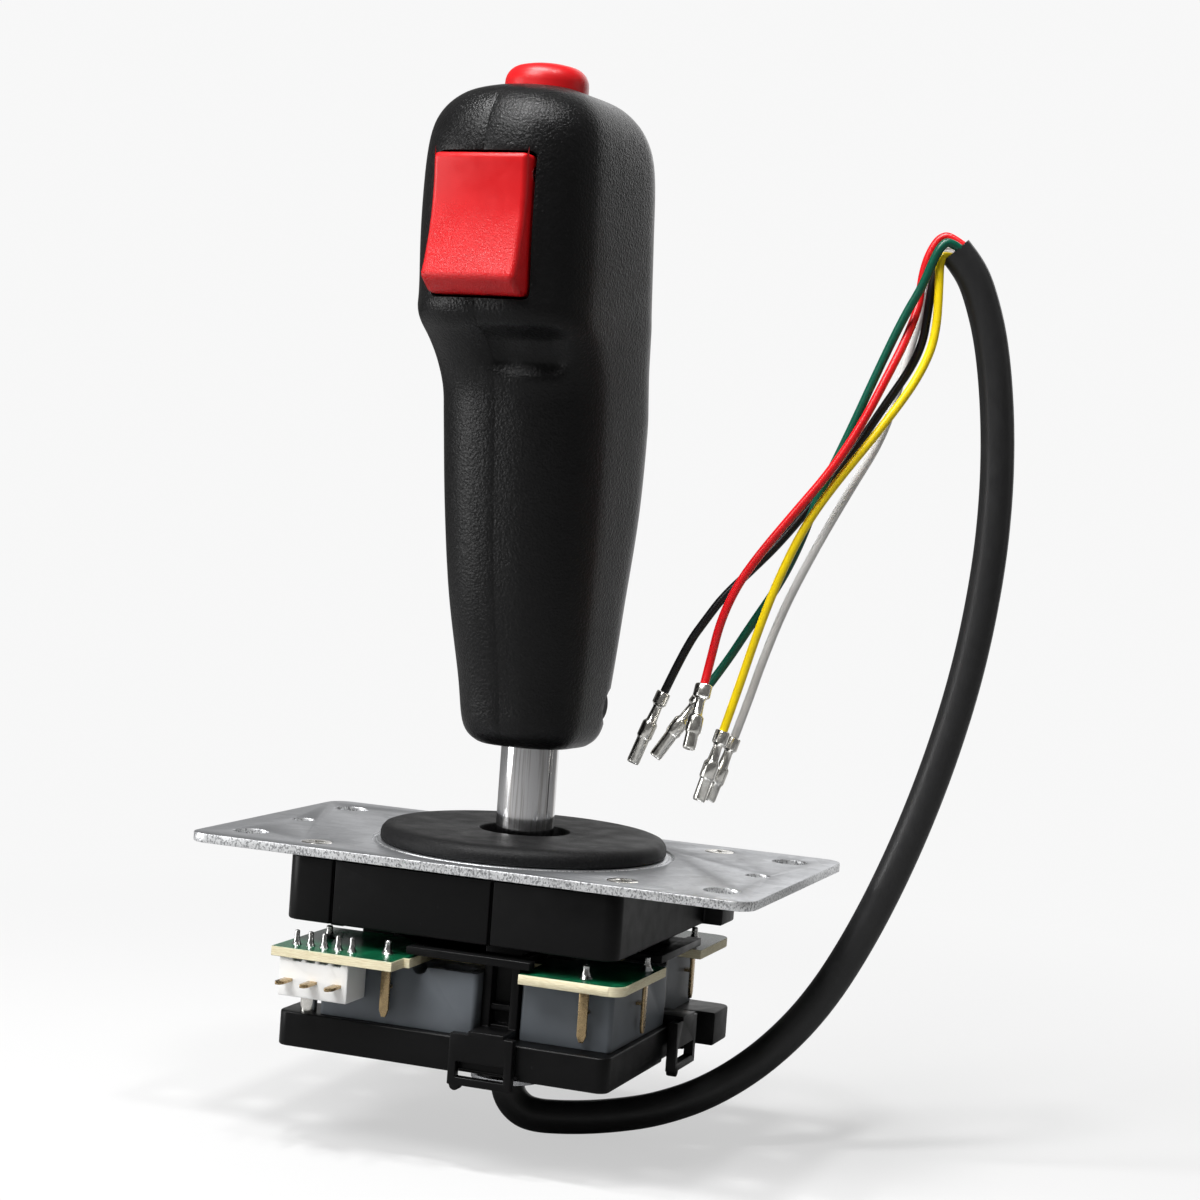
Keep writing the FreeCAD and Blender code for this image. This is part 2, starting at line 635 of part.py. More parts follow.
def plungers():
    for turns, side in enumerate(SIDES):
        pin = cylinder("Plunger_" + side, "plunger_radius", "plunger_depth + plunger_reach - plunger_back",
                       ("0", "0 - switch_face + switch_depth - plunger_depth + plunger_back",
                        COVER_TOP + " + switch_height / 2"), (0, 1, 0))
        keep(quarter(pin, turns), "switch_plunger_" + side)


def tab(name, across, out, along_face):
    """Terminal tab: soldered top, flat blade with a round end, and its root in the case."""
    wide = ("tab_width", "tab_thickness") if along_face else ("tab_thickness", "tab_width")
    low = (f"{across} - {wide[0]} / 2", f"{out} - {wide[1]} / 2")
    blade = box(name + "Blade", (low[0], low[1], BOARD_BOTTOM + " - tab_drop + tab_width / 2"),
                (wide[0], wide[1], "tab_drop - tab_width / 2 + board_thickness"))
    direction = (0, 1, 0) if along_face else (1, 0, 0)
    foot = (across, f"{out} - tab_thickness / 2") if along_face else (f"{across} - tab_thickness / 2", out)
    end = cylinder(name + "End", "tab_width / 2", "tab_thickness",
                   (foot[0], foot[1], BOARD_BOTTOM + " - tab_drop + tab_width / 2"), direction)
    blob = cylinder(name + "Blob", "solder_radius", "solder_height / 2", (across, out, BOARD_TOP))
    tip = cylinder(name + "Tip", "solder_radius * 0.6", "solder_height", (across, out, BOARD_TOP))
    if along_face:
        root = box(name + "Root", (low[0], out, BOARD_BOTTOM + " - tab_foot"),
                   ("tab_width", "tab_standoff", "tab_thickness"))
    else:
        root = box(name + "Root", (across, low[1], BOARD_BOTTOM + " - tab_foot"),
                   ("tab_standoff", "tab_width", "tab_thickness"))
    return [blade, end, blob, tip, root]


def terminal_tabs():
    for turns, side in enumerate(SIDES):
        face = fuse("FaceTab_" + side, tab("FaceTab_" + side, FACE_TAB_ALONG, FACE_TAB_OUT, True))
        end = fuse("EndTab_" + side, tab("EndTab_" + side, END_TAB_OUT, END_TAB_ALONG, False))
        keep(quarter(face, turns), "face_tab_" + side)
        keep(quarter(end, turns), "end_tab_" + side)


def switch_frame():
    pieces = []
    for turns in range(4):
        left = "switch_length - switch_end + post_play"
        width = "switch_face - switch_depth - switch_length + switch_end - post_play * 2"
        post = box(f"Post{turns}", (left, "0 - post_front", COVER_TOP),
                   (width, "post_front - post_back", f"({HOUSING_BOTTOM}) - ({COVER_TOP})"))
        groove = box(f"PostGroove{turns}", (left + " + post_wall", "0 - post_front", COVER_TOP + " - 1"),
                     (width + " - post_wall * 2", "post_groove", f"({HOUSING_BOTTOM}) - ({COVER_TOP}) - 2"))
        bars = [box(f"PostBar{turns}{index}",
                    (left + " + post_wall - 0.2", "0 - post_front + post_bar_inset", COVER_TOP + place),
                    (width + " - post_wall * 2 + 0.4", "post_groove", "post_bar"))
                for index, place in enumerate((" + post_bar_low", " + post_bar_high"))]
        beam = box(f"Beam{turns}", ("0 - beam_left", "0 - beam_outer", BEAM_BOTTOM),
                   ("beam_left + beam_right", "beam_outer - beam_inner", "beam_thickness"))
        room = box(f"BeamRoom{turns}", ("0 - beam_left + beam_end", "0 - beam_outer + beam_edge", BEAM_BOTTOM),
                   ("beam_left + switch_length - switch_end - beam_end - 1", "beam_outer - beam_edge",
                    "beam_thickness"))
        back = box(f"BeamRoomRight{turns}",
                   ("switch_face - switch_depth + 1", "0 - beam_outer + beam_edge", BEAM_BOTTOM),
                   ("beam_room", "beam_outer - beam_edge", "beam_thickness"))
        solid = cut(f"BeamCut{turns}", beam, [room, back])
        side = fuse(f"FrameSide{turns}", [cut(f"PostCut{turns}", post, [groove])] + bars + [solid, clip(turns)])
        pieces.append(quarter(side, turns))
    ring = box("FrameRing", ("0 - frame_ring", "0 - frame_ring", BEAM_BOTTOM),
               ("frame_ring * 2", "frame_ring * 2", "beam_thickness"))
    hole = cylinder("FrameRingHole", "board_bore_radius", "beam_thickness", ("0", "0", BEAM_BOTTOM))
    pieces.append(cut("FrameRingCut", ring, [hole]))
    keep(fuse("SwitchFrame", pieces), "switch_frame")


def clip(turns):
    """Slotted clip that goes down from a post, out past the cover and under its edge."""
    drop = COVER_TOP + " - clip_height"
    plate = box(f"ClipPlate{turns}", ("clip_start", "0 - clip_outer", drop),
                ("clip_width", "clip_outer - housing_front - clip_play", "clip_height + 1"))
    slot = box(f"ClipSlot{turns}", ("clip_start + clip_wall", "0 - clip_outer", drop + " + clip_wall"),
               ("clip_width - clip_wall * 2", "clip_outer - housing_front", "clip_slot"))
    arm = box(f"ClipArm{turns}",
              ("switch_length - switch_end + post_play", "0 - clip_outer", COVER_TOP + " + clip_arm_lift"),
              ("switch_face - switch_depth - switch_length + switch_end - post_play * 2",
               "clip_outer - post_front + 0.5", "clip_arm"))
    foot = cylinder(f"ClipFoot{turns}", "clip_foot", "clip_outer - housing_front - clip_play",
                    ("clip_start + clip_wall", "0 - clip_outer", drop), (0, 1, 0))
    return fuse(f"Clip{turns}", [cut(f"ClipCut{turns}", plate, [slot]), arm, foot])


def bottom_cover():
    body = padded("BottomCover", base_outline(), COVER_BOTTOM, "cover_thickness")
    ease(body, "cover_corner", outer_corner)
    tools = [box("CoverOpening", ("0 - cover_opening", "0 - cover_opening", COVER_BOTTOM + " - 1"),
                 ("cover_opening * 2", "cover_opening * 2", "cover_thickness + 2"))]
    for turns in range(4):
        groove = box(f"CoverGroove{turns}",
                     ("clip_start - clip_side_play", "0 - housing_front - 1", COVER_BOTTOM + " - 1"),
                     ("clip_width + clip_side_play * 2", "2", "1.6"))
        tools.append(quarter(groove, turns))
    keep(cut("CoverWithOpening", body, tools), "bottom_cover")


def cover_stud():
    stud = cylinder("CoverStud", "stud_radius", "stud_height",
                    ("0 - switch_end - stud_aside", "0 - switch_face + stud_inset", COVER_TOP))
    keep(stud, "cover_stud")


def connector():
    front = "0 - switch_face - header_gap - header_depth"
    block = box("HeaderBlock", ("0 - header_start", front, BOARD_BOTTOM + " - header_height"),
                ("header_width", "header_depth", "header_height"))
    tools = [box("HeaderRoom",
                 ("0 - header_start + header_wall", front, BOARD_BOTTOM + " - header_height + header_wall"),
                 ("header_width - header_wall * 2", "header_depth * 0.55", "header_height - header_wall * 2"))]
    blades = []
    for place in (-1, 0, 1):
        centre = f"0 - header_start + header_width / 2 + blade_pitch * ({place})"
        spot = (centre + " - blade_width / 2", "0 - switch_face - header_gap * 2 - blade_length",
                BOARD_BOTTOM + " - blade_drop")
        tools.append(box(f"BladeHole{place + 1}", spot, ("blade_width", "blade_length", "blade_thickness")))
        blades.append(box(f"Blade{place + 1}", spot, ("blade_width", "blade_length", "blade_thickness")))
    keep(cut("HeaderShell", block, tools), "connector_block")
    for name, blade in zip(("left", "middle", "right"), blades):
        keep(blade, "connector_blade_" + name)
    leads = []
    for place in range(-2, 3):
        centre = f"0 - header_start + header_width / 2 + lead_pitch * ({place})"
        spot = (centre, "0 - switch_face - header_gap - header_depth / 2", BOARD_TOP)
        lead = cylinder(f"Lead{place + 2}", "lead_radius", "lead_height", spot)
        blob = cylinder(f"LeadBlob{place + 2}", "lead_radius * 1.9", "lead_height * 0.3", spot)
        leads.append(fuse(f"LeadWithBlob{place + 2}", [lead, blob]))
    pack = doc.addObject("Part::Compound", "Leads")
    pack.Links = leads
    keep(pack, "connector_leads")


def pivot():
    ball = sphere("BallShape", "ball_radius", "0 - pivot_depth")
    zone = cylinder("BallZone", "ball_radius + 1", "ball_half * 2", ("0", "0", "0 - pivot_depth - ball_half"))
    common = doc.addObject("Part::MultiCommon", "BallBody")
    common.Shapes = [ball, zone]
    bore = cylinder("BallBore", "shaft_radius", "ball_half * 2 + 2", ("0", "0", "0 - pivot_depth - ball_half - 1"))
    keep(cut("PivotBall", common, [bore]), "pivot_ball")
    outer = sphere("RingOuter", "ball_radius + ring_thickness + bearing_play", "0 - pivot_depth")
    band = cylinder("RingBand", "ball_radius + ring_thickness + 2", "ring_half * 2",
                    ("0", "0", "0 - pivot_depth - ring_half"))
    slab = doc.addObject("Part::MultiCommon", "RingSlab")
    slab.Shapes = [outer, band]
    inner = sphere("RingInner", "ball_radius + bearing_play", "0 - pivot_depth")
    keep(cut("BearingRing", slab, [inner]), "bearing_ring")


SEAT_TOP = "0 - pivot_depth - ball_half"
SPRING_TOP = SEAT_TOP + " - seat_thickness"
ACTUATOR_TOP = SPRING_TOP + " - spring_length"
SLEEVE_TOP = ACTUATOR_TOP + " - actuator_height"
RING_BOTTOM = "0 - shaft_bottom + clip_ring_gap"
RING_TOP = RING_BOTTOM + " + clip_ring_thickness"


def shaft():
    body = turned("Shaft", [
        ("shaft_bore_radius", "0 - shaft_bottom"),
        ("shaft_tail_radius", "0 - shaft_bottom"),
        ("shaft_tail_radius", SEAT_TOP),
        ("shaft_radius", SEAT_TOP),
        ("shaft_radius", "shaft_top"),
        ("shaft_bore_radius", "shaft_top"),
    ])
    keep(body, "shaft")
    seat = turned("SpringSeat", [
        ("shaft_tail_radius", SPRING_TOP),
        ("seat_radius", SPRING_TOP),
        ("seat_radius", SEAT_TOP),
        ("shaft_tail_radius", SEAT_TOP),
    ])
    keep(seat, "spring_seat")
    actuator = turned("Actuator", [
        ("shaft_tail_radius", RING_TOP),
        ("sleeve_radius", RING_TOP),
        ("sleeve_radius", SLEEVE_TOP),
        ("actuator_radius", SLEEVE_TOP + " + actuator_bevel"),
        ("actuator_radius", ACTUATOR_TOP + " - actuator_bevel"),
        ("sleeve_radius + 0.4", ACTUATOR_TOP),
        ("shaft_tail_radius", ACTUATOR_TOP),
    ])
    keep(actuator, "actuator")
    ring = turned("RetainingRing", [
        ("shaft_tail_radius", RING_BOTTOM),
        ("clip_ring_radius", RING_BOTTOM),
        ("clip_ring_radius", RING_TOP),
        ("shaft_tail_radius", RING_TOP),
    ])
    mouth = box("RetainingMouth", ("0 - clip_ring_mouth / 2", "0", RING_BOTTOM),
                ("clip_ring_mouth", "clip_ring_radius + 1", "clip_ring_thickness"))
    keep(cut("RetainingRingOpen", ring, [mouth]), "retaining_ring")
    bush = turned("CableBush", [
        ("cable_radius", "0 - shaft_bottom"),
        ("shaft_bore_radius", "0 - shaft_bottom"),
        ("shaft_bore_radius", "0 - shaft_bottom + bush_length"),
        ("cable_radius", "0 - shaft_bottom + bush_length"),
    ])
    keep(bush, "cable_bush")


def centring_spring():
    """Open coil between the spring seat and the actuator."""
    wire = size("spring_wire")
    radius = size("spring_radius")
    low = level("-pivot_depth-ball_half-seat_thickness-spring_length") + wire
    rise = size("spring_length") - 2 * wire
    helix = Part.makeHelix(rise / size("spring_turns"), rise, radius)
    helix.translate(FreeCAD.Vector(0, 0, low))
    start = FreeCAD.Vector(radius, 0, low)
    section = Part.Wire([Part.Circle(start, FreeCAD.Vector(0, 1, 0), wire).toShape()])
    coil = Part.Wire(helix.Edges).makePipeShell([section], True, True)
    thing = doc.addObject("Part::Feature", "CentringSpring")
    thing.Shape = coil
    keep(thing, "centring_spring")


def grip_section(station, inset, height=None):
    """Rounded section of the grip at a station, moved in by a wall thickness."""
    name = "grip_" + station + "_"
    half = size(name + "half") - inset
    front = -size(name + "front") + inset
    back = size(name + "back") - inset
    corner = max(size(name + "corner") - inset, 1.0)
    corner = min(corner, half - 0.4, (back - front) / 2 - 0.4)
    up = size(name + "height") if height is None else height
    edges = []
    centres = [(half - corner, front + corner, -90), (half - corner, back - corner, 0),
               (corner - half, back - corner, 90), (corner - half, front + corner, 180)]
    spots = []
    for across, deep, start in centres:
        ring = []
        for step in (0, 45, 90):
            angle = math.radians(start + step)
            ring.append(FreeCAD.Vector(across + corner * math.cos(angle), deep + corner * math.sin(angle), up))
        spots.append(ring)
    for index, ring in enumerate(spots):
        edges.append(Part.Arc(*ring).toShape())
        edges.append(Part.LineSegment(ring[2], spots[(index + 1) % 4][0]).toShape())
    return Part.Wire(edges)


def grip_body():
    """Outer form of the grip, smooth from station to station."""
    return Part.makeLoft([grip_section(station[0], 0.0) for station in STATIONS], True, False)


def grip_room(wall):
    """Room inside the grip, straight from station to station, so that the wall stays whole."""
    return Part.makeLoft([grip_section(station[0], wall) for station in STATIONS[2:-1]], True, True)


def block(low, high):
    """Plain box between two corners."""
    spans = [top - bottom for top, bottom in zip(high, low)]
    return Part.makeBox(*spans, FreeCAD.Vector(*low))


def rod(foot, direction, radius, length):
    return Part.makeCylinder(radius, length, FreeCAD.Vector(*foot), FreeCAD.Vector(*direction))


def trigger_shape(gap=0.0):
    """Trigger profile carried across its width, with a dished face and an outward lip."""
    half = size("trigger_width") / 2
    back = -size("trigger_back")
    spots = [
        (back, size("trigger_top")),
        (-size("trigger_face"), size("trigger_top")),
        (-size("trigger_dish"), (size("trigger_top") + size("trigger_lip")) / 2),
        (-size("trigger_lip_reach"), size("trigger_lip")),
        (-size("trigger_base_reach"), size("trigger_base")),
        (back, size("trigger_base")),
    ]
    flat = [FreeCAD.Vector(-half, deep, up) for deep, up in spots]
    edges = [
        Part.LineSegment(flat[0], flat[1]).toShape(),
        Part.Arc(flat[1], flat[2], flat[3]).toShape(),
        Part.LineSegment(flat[3], flat[4]).toShape(),
        Part.LineSegment(flat[4], flat[5]).toShape(),
        Part.LineSegment(flat[5], flat[0]).toShape(),
    ]
    solid = Part.Face(Part.Wire(edges)).extrude(FreeCAD.Vector(2 * half, 0, 0))
    outer = [edge for edge in solid.Edges if edge.BoundBox.YMax < back - 1.0]
    solid = solid.makeFillet(size("trigger_round"), outer)
    pin = rod((-half - 1, -size("trigger_pin_reach"), size("trigger_pin_height")), (1, 0, 0),
              size("trigger_pin_radius") + size("trigger_pin_play"), 2 * half + 2)
    return solid.cut(pin)


def grip_shapes():
    """Left and right halves of the hollow grip, with their openings."""
    outer = grip_body()
    low = size("grip_hollow_start")
    high = size("grip_hollow_end")
    wall = size("grip_wall")
    inner = grip_room(wall).common(block((-60, -60, low), (60, 60, high)))
    half = size("trigger_width") / 2 + size("trigger_gap")
    window = block((-half, -60, size("trigger_base") - size("trigger_gap")),
                   (half, -size("trigger_back") + 4.0, size("trigger_top") + size("trigger_gap")))
    button = rod((0, size("button_setback"), high - 2), (0, 0, 1), size("button_radius") + size("button_play"), 20)
    shaft_room = rod((0, 0, 0), (0, 0, 1), size("shaft_radius"), size("shaft_top"))
    shell = outer.cut(inner).cut(window).cut(button).cut(shaft_room)
    ribs = []
    front = -size("trigger_switch_front")
    deep = front + size("trigger_switch_depth")
    for sign in (-1, 1):
        near = sign * size("trigger_switch_half")
        far = sign * (size("grip_cheek_half") - wall / 2)
        ribs.append(block((min(near, far), front + 1, size("trigger_switch_low") + 1),
                          (max(near, far), deep - 1, size("trigger_switch_high") - 1)))
        near = sign * size("button_switch_half")
        set_back = size("button_setback")
        top = button_switch_top()
        ribs.append(block((min(near, far), set_back - 3, top - size("button_switch_height") + 0.5),
                          (max(near, far), set_back + 3, top - 1)))
    pin_half = size("trigger_pin_length") / 2
    for sign in (-1, 1):
        near = sign * (size("trigger_width") / 2 + size("trigger_gap"))
        far = sign * (size("grip_brow_half") - wall / 2)
        pin = (0, -size("trigger_pin_reach"), size("trigger_pin_height"))
        ribs.append(block((min(near, far), pin[1] - 2.0, pin[2] - 2.6), (max(near, far), pin[1] + 5.0, pin[2] + 2.6))
                    .common(outer))
    for rib in ribs:
        shell = shell.fuse(rib)
    pin_room = rod((-pin_half, -size("trigger_pin_reach"), size("trigger_pin_height")), (1, 0, 0),
                   size("trigger_pin_radius"), 2 * pin_half)
    shell = shell.cut(pin_room)
    for name, sign in (("upper", -1), ("lower", 1)):
        shell = shell.cut(grip_screw_room(name, sign))
    left = shell.common(block((-60, -60, 0), (0, 60, 160)))
    right = shell.common(block((0, -60, 0), (60, 60, 160)))
    return left, right


def side_of_grip(height):
    """Half width of the grip at a height, between its stations."""
    stations = [(size("grip_" + name + "_height"), size("grip_" + name + "_half")) for name, *rest in STATIONS]
    for (low, near), (high, far) in zip(stations, stations[1:]):
        if low <= height <= high:
            return near + (far - near) * (height - low) / (high - low)
    return stations[-1][1]


def grip_screw_frame(name, sign):
    """Seat of the screw head on one side of the grip."""
    height = size(name + "_screw_height")
    reach = size(name + "_screw_reach")
    seat = sign * (side_of_grip(height) - size("grip_screw_sink"))
    return seat, reach, height


def grip_screw_room(name, sign):
    seat, reach, height = grip_screw_frame(name, sign)
    well = rod((seat, reach, height), (sign, 0, 0), size("grip_screw_hole"), 12)
    length = size("grip_screw_length") - size("grip_screw_head_depth")
    bore = rod((seat, reach, height), (-sign, 0, 0), size("grip_screw_radius"), length)
    return well.fuse(bore)


def grip_screw_shape(name, sign):
    seat, reach, height = grip_screw_frame(name, sign)
    head = rod((seat, reach, height), (sign, 0, 0), size("grip_screw_head"), size("grip_screw_head_depth"))
    length = size("grip_screw_length") - size("grip_screw_head_depth")
    shank = rod((seat, reach, height), (-sign, 0, 0), size("grip_screw_radius"), length)
    return head.fuse(shank)


def button_switch_top():
    """Upper face of the switch under the top button."""
    flange_top = size("grip_hollow_end") - size("button_flange_gap")
    return flange_top - size("button_flange") - size("button_travel") - size("button_switch_gap")


def grip_feature(name, label, shape):
    """Sub-part of the grip, turned about the shaft with it."""
    thing = doc.addObject("Part::Feature", name)
    thing.Shape = shape
    turn = FreeCAD.Rotation(FreeCAD.Vector(0, 0, 1), size("grip_turn"))
    thing.Placement = FreeCAD.Placement(FreeCAD.Vector(0, 0, 0), turn)
    keep(thing, label)


def grip():
    left, right = grip_shapes()
    grip_feature("GripLeft", "grip_left", left)
    grip_feature("GripRight", "grip_right", right)
    grip_feature("Trigger", "trigger", trigger_shape())
    pin_half = size("trigger_pin_length") / 2
    pin = rod((-pin_half, -size("trigger_pin_reach"), size("trigger_pin_height")), (1, 0, 0),
              size("trigger_pin_radius"), 2 * pin_half)
    grip_feature("TriggerPin", "trigger_pin", pin)
    front = -size("trigger_switch_front")
    case = block((-size("trigger_switch_half"), front, size("trigger_switch_low")),
                 (size("trigger_switch_half"), front + size("trigger_switch_depth"), size("trigger_switch_high")))
    grip_feature("TriggerSwitch", "trigger_switch", case)
    half = size("button_switch_half")
    top = button_switch_top()
    case = block((-half, size("button_setback") - half, top - size("button_switch_height")),
                 (half, size("button_setback") + half, top))
    grip_feature("ButtonSwitch", "button_switch", case)
    for name, sign in (("upper", -1), ("lower", 1)):
        grip_feature("GripScrew" + name, "grip_screw_" + name, grip_screw_shape(name, sign))


def top_button():
    flange_top = "grip_hollow_end - button_flange_gap"
    body = turned("TopButton", [
        ("0", flange_top + " - button_flange"),
        ("button_flange_radius", flange_top + " - button_flange"),
        ("button_flange_radius", flange_top),
        ("button_radius", flange_top),
        ("button_radius", "button_top"),
        ("0", "button_top"),
    ])
    ease(body, "button_round", lambda edge: abs(edge.BoundBox.ZMin - size("button_top")) < 1e-6
         and abs(edge.BoundBox.XMax - size("button_radius")) < 1e-6)
    bind(body, "Placement.Base.x", "0 - sin(grip_turn * 1deg) * button_setback")
    bind(body, "Placement.Base.y", "cos(grip_turn * 1deg) * button_setback")
    keep(body, "top_button")


# Routes lie near the upright plane through the shaft that faces the viewer, as
# (out from the shaft along the plane, up, towards the viewer).
ROUTE_TURN = 19.6

CABLE_ROUTE = [
    (0.0, -38.4, 0.0), (0.0, -41.9, 0.0), (1.8, -44.9, 0.0), (4.8, -46.5, 0.0), (11.5, -46.4, 0.0),
    (18.5, -45.6, 0.0), (26.5, -43.9, 0.0), (35.5, -40.0, 0.0), (44.5, -33.2, 0.0), (52.5, -23.8, 0.0),
    (59.2, -11.4, 0.0), (65.3, 3.6, 0.0), (70.3, 19.6, 0.0), (74.0, 36.0, 0.0), (76.0, 52.4, 0.0),
    (76.4, 66.0, 0.0), (75.6, 79.0, 0.0), (73.6, 91.6, 0.0), (70.9, 100.0, 0.0), (68.6, 104.4, 0.0),
    (66.1, 107.0, 0.0),
]

WIRE_ROUTES = {
    "red": [
        (66.8, 108.7, -0.6), (65.2, 109.6, -1.2), (63.6, 109.2, -1.7), (62.4, 107.4, -1.8),
        (61.4, 104.6, -1.8), (60.9, 101.0, -1.8), (60.9, 97.6, -1.4), (58.9, 91.6, 0.9), (56.4, 85.9, 2.8),
        (52.1, 76.2, 3.9), (47.5, 68.1, 4.0), (41.6, 60.2, 4.0), (36.4, 53.0, 4.0), (33.0, 47.4, 4.0),
        (30.7, 41.2, 4.1), (29.6, 34.6, 3.3), (28.8, 30.5, 4.4),
    ],
    "green": [
        (66.0, 107.9, 2.0), (64.8, 108.3, 2.5), (63.4, 107.5, 2.7), (62.3, 105.2, 2.5), (60.8, 100.5, 1.9),
        (58.0, 94.9, 1.4), (54.1, 84.8, 1.0), (50.3, 74.5, 0.9), (46.0, 63.9, 0.9), (43.8, 56.1, 0.8),
        (40.7, 48.5, 0.6), (36.1, 40.7, 0.3), (32.3, 33.7, -0.5), (28.8, 28.5, -0.2),
    ],
    "black": [
        (64.5, 106.3, -0.8), (63.6, 105.5, -0.9), (63.1, 103.4, -0.8), (62.6, 99.8, -0.7),
        (62.3, 95.7, -0.8), (61.9, 91.1, -1.0), (60.2, 86.5, -1.3), (56.9, 81.0, -1.6), (52.2, 72.8, -1.8),
        (46.2, 63.6, -1.8), (40.4, 55.5, -1.8), (35.7, 50.2, -1.8), (31.2, 45.3, -1.8), (28.6, 41.3, -1.8),
        (25.5, 36.3, -2.1), (22.3, 28.2, -1.8),
    ],
    "yellow": [
        (64.7, 106.6, 0.9), (63.9, 106.1, 1.0), (63.5, 104.4, 1.1), (63.6, 101.6, 1.3), (63.7, 98.0, 1.5),
        (63.7, 94.1, 1.7), (63.1, 89.8, 2.0), (61.1, 84.9, 2.3), (58.4, 80.3, 2.6), (54.1, 73.9, 2.8),
        (49.6, 67.6, 2.9), (45.5, 61.3, 2.9), (42.7, 55.8, 2.9), (39.7, 48.0, 2.9), (37.1, 39.4, 2.9),
        (34.7, 29.8, 2.4), (32.7, 22.7, 2.9),
    ],
    "white": [
        (65.6, 107.5, -2.0), (64.6, 107.3, -2.7), (63.6, 105.3, -3.2), (62.4, 100.8, -3.8),
        (60.9, 93.1, -4.3), (58.9, 83.8, -4.7), (56.7, 74.5, -4.8), (51.8, 65.2, -4.8), (46.6, 54.6, -4.8),
        (42.1, 44.3, -4.8), (38.9, 34.4, -4.8), (37.0, 27.2, -5.1), (35.1, 21.0, -4.8),
    ],
}

TERMINAL_TIPS = {
    "red": (26.8, 19.6, 7.6),
    "green": (21.4, 17.1, 0.6),
    "black": (17.7, 15.6, -1.2),
    "yellow": (29.3, 10.5, 3.9),
    "white": (31.4, 9.7, -4.0),
}


def route_point(out, up, near):
    angle = math.radians(ROUTE_TURN)
    across = out * math.cos(angle) + near * math.sin(angle)
    deep = out * math.sin(angle) - near * math.cos(angle)
    return FreeCAD.Vector(across, deep, up)


def cord(name, label, radius, route):
    """Tube along straight runs joined by tangent arcs, each as large as its runs allow."""
    spots = [route_point(*spot) for spot in route]
    edges = []
    radii = []
    start = spots[0]
    for before, here, after in zip(spots, spots[1:], spots[2:]):
        back = (before - here)
        ahead = (after - here)
        reach = 0.45 * min(back.Length, ahead.Length)
        half_turn = (math.pi - back.getAngle(ahead)) / 2
        radii.append(reach / math.tan(half_turn))
        back.normalize()
        ahead.normalize()
        enter = here + back * reach
        leave = here + ahead * reach
        inward = back + ahead
        inward.normalize()
        depth = radii[-1] / math.cos(half_turn) - radii[-1]
        edges.append(Part.LineSegment(start, enter).toShape())
        edges.append(Part.Arc(enter, here + inward * depth, leave).toShape())
        start = leave
    edges.append(Part.LineSegment(start, spots[-1]).toShape())
    path = Part.Wire(edges)
    along = spots[1] - spots[0]
    section = Part.Wire([Part.Circle(spots[0], along, radius).toShape()])
    tube = path.makePipeShell([section], True, True)
    thing = doc.addObject("Part::Feature", name)
    thing.Shape = tube
    keep(thing, label)
    ratio = tube.Volume / (math.pi * radius * radius * path.Length)
    listed = " ".join(f"{value:.1f}" for value in radii)
    print(f"{label}: length {path.Length:.1f}, volume ratio {ratio:.4f}, radii {listed}")


def terminal(colour):
    """Crimped socket on a wire's end, along the wire's last direction."""
    foot = route_point(*WIRE_ROUTES[colour][-1])
    tip = route_point(*TERMINAL_TIPS[colour])
    length = (tip - foot).Length
    step = size("terminal_step")
    crimp = size("crimp_radius")
    neck = size("neck_radius")
    barrel = size("barrel_radius")
    tube = size("tube_radius")
    profile = [(0.0, 0.0), (crimp, 0.0), (crimp, size("crimp_length")), (neck, size("crimp_length") + step),
               (neck, size("neck_end")), (barrel, size("neck_end") + step), (barrel, size("barrel_end")),
               (tube, size("barrel_end") + step), (tube, length), (0.0, length)]
    spots = [FreeCAD.Vector(across, 0, up) for across, up in profile]
    edges = [Part.LineSegment(one, two).toShape() for one, two in zip(spots, spots[1:] + spots[:1])]
    solid = Part.Face(Part.Wire(edges)).revolve(FreeCAD.Vector(0, 0, 0), FreeCAD.Vector(0, 0, 1), 360)
    thing = doc.addObject("Part::Feature", "Terminal_" + colour)
    thing.Shape = solid
    thing.Placement = FreeCAD.Placement(foot, FreeCAD.Rotation(FreeCAD.Vector(0, 0, 1), tip - foot))
    keep(thing, "terminal_" + colour)


def cords():
    cord("CableJacket", "cable_jacket", size("cable_radius"), CABLE_ROUTE)
    for colour, route in WIRE_ROUTES.items():
        cord("Wire_" + colour, "wire_" + colour, size("wire_radius"), route)
        terminal(colour)


def export():
    """Recompute, test every object and write each sub-part."""
    doc.recompute()
    for thing in doc.Objects:
        broken = {"Invalid", "Error"} & set(thing.State)
        if broken:
            raise RuntimeError(f"{thing.Name} is {sorted(broken)}")
    os.makedirs("parts", exist_ok=True)
    for thing in kept:
        shape = thing.Shape
        if shape.isNull() or not shape.isValid():
            raise RuntimeError(f"{thing.Label} has no valid shape")
        if not shape.Solids:
            raise RuntimeError(f"{thing.Label} has no solid")
        shape.exportStep(f"parts/{thing.Label}.step")
    print(f"{len(kept)} sub-parts written")


mounting_plate()
dust_washer()
plate_screws()
upper_housing()
circuit_board()
microswitches()
plungers()
terminal_tabs()
switch_frame()
bottom_cover()
cover_stud()
connector()
pivot()
shaft()
centring_spring()
grip()
top_button()
cords()
export()
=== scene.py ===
import json
import math

import bmesh
import bpy
from bpy.props import FloatProperty, FloatVectorProperty, PointerProperty
from mathutils import Matrix, Vector


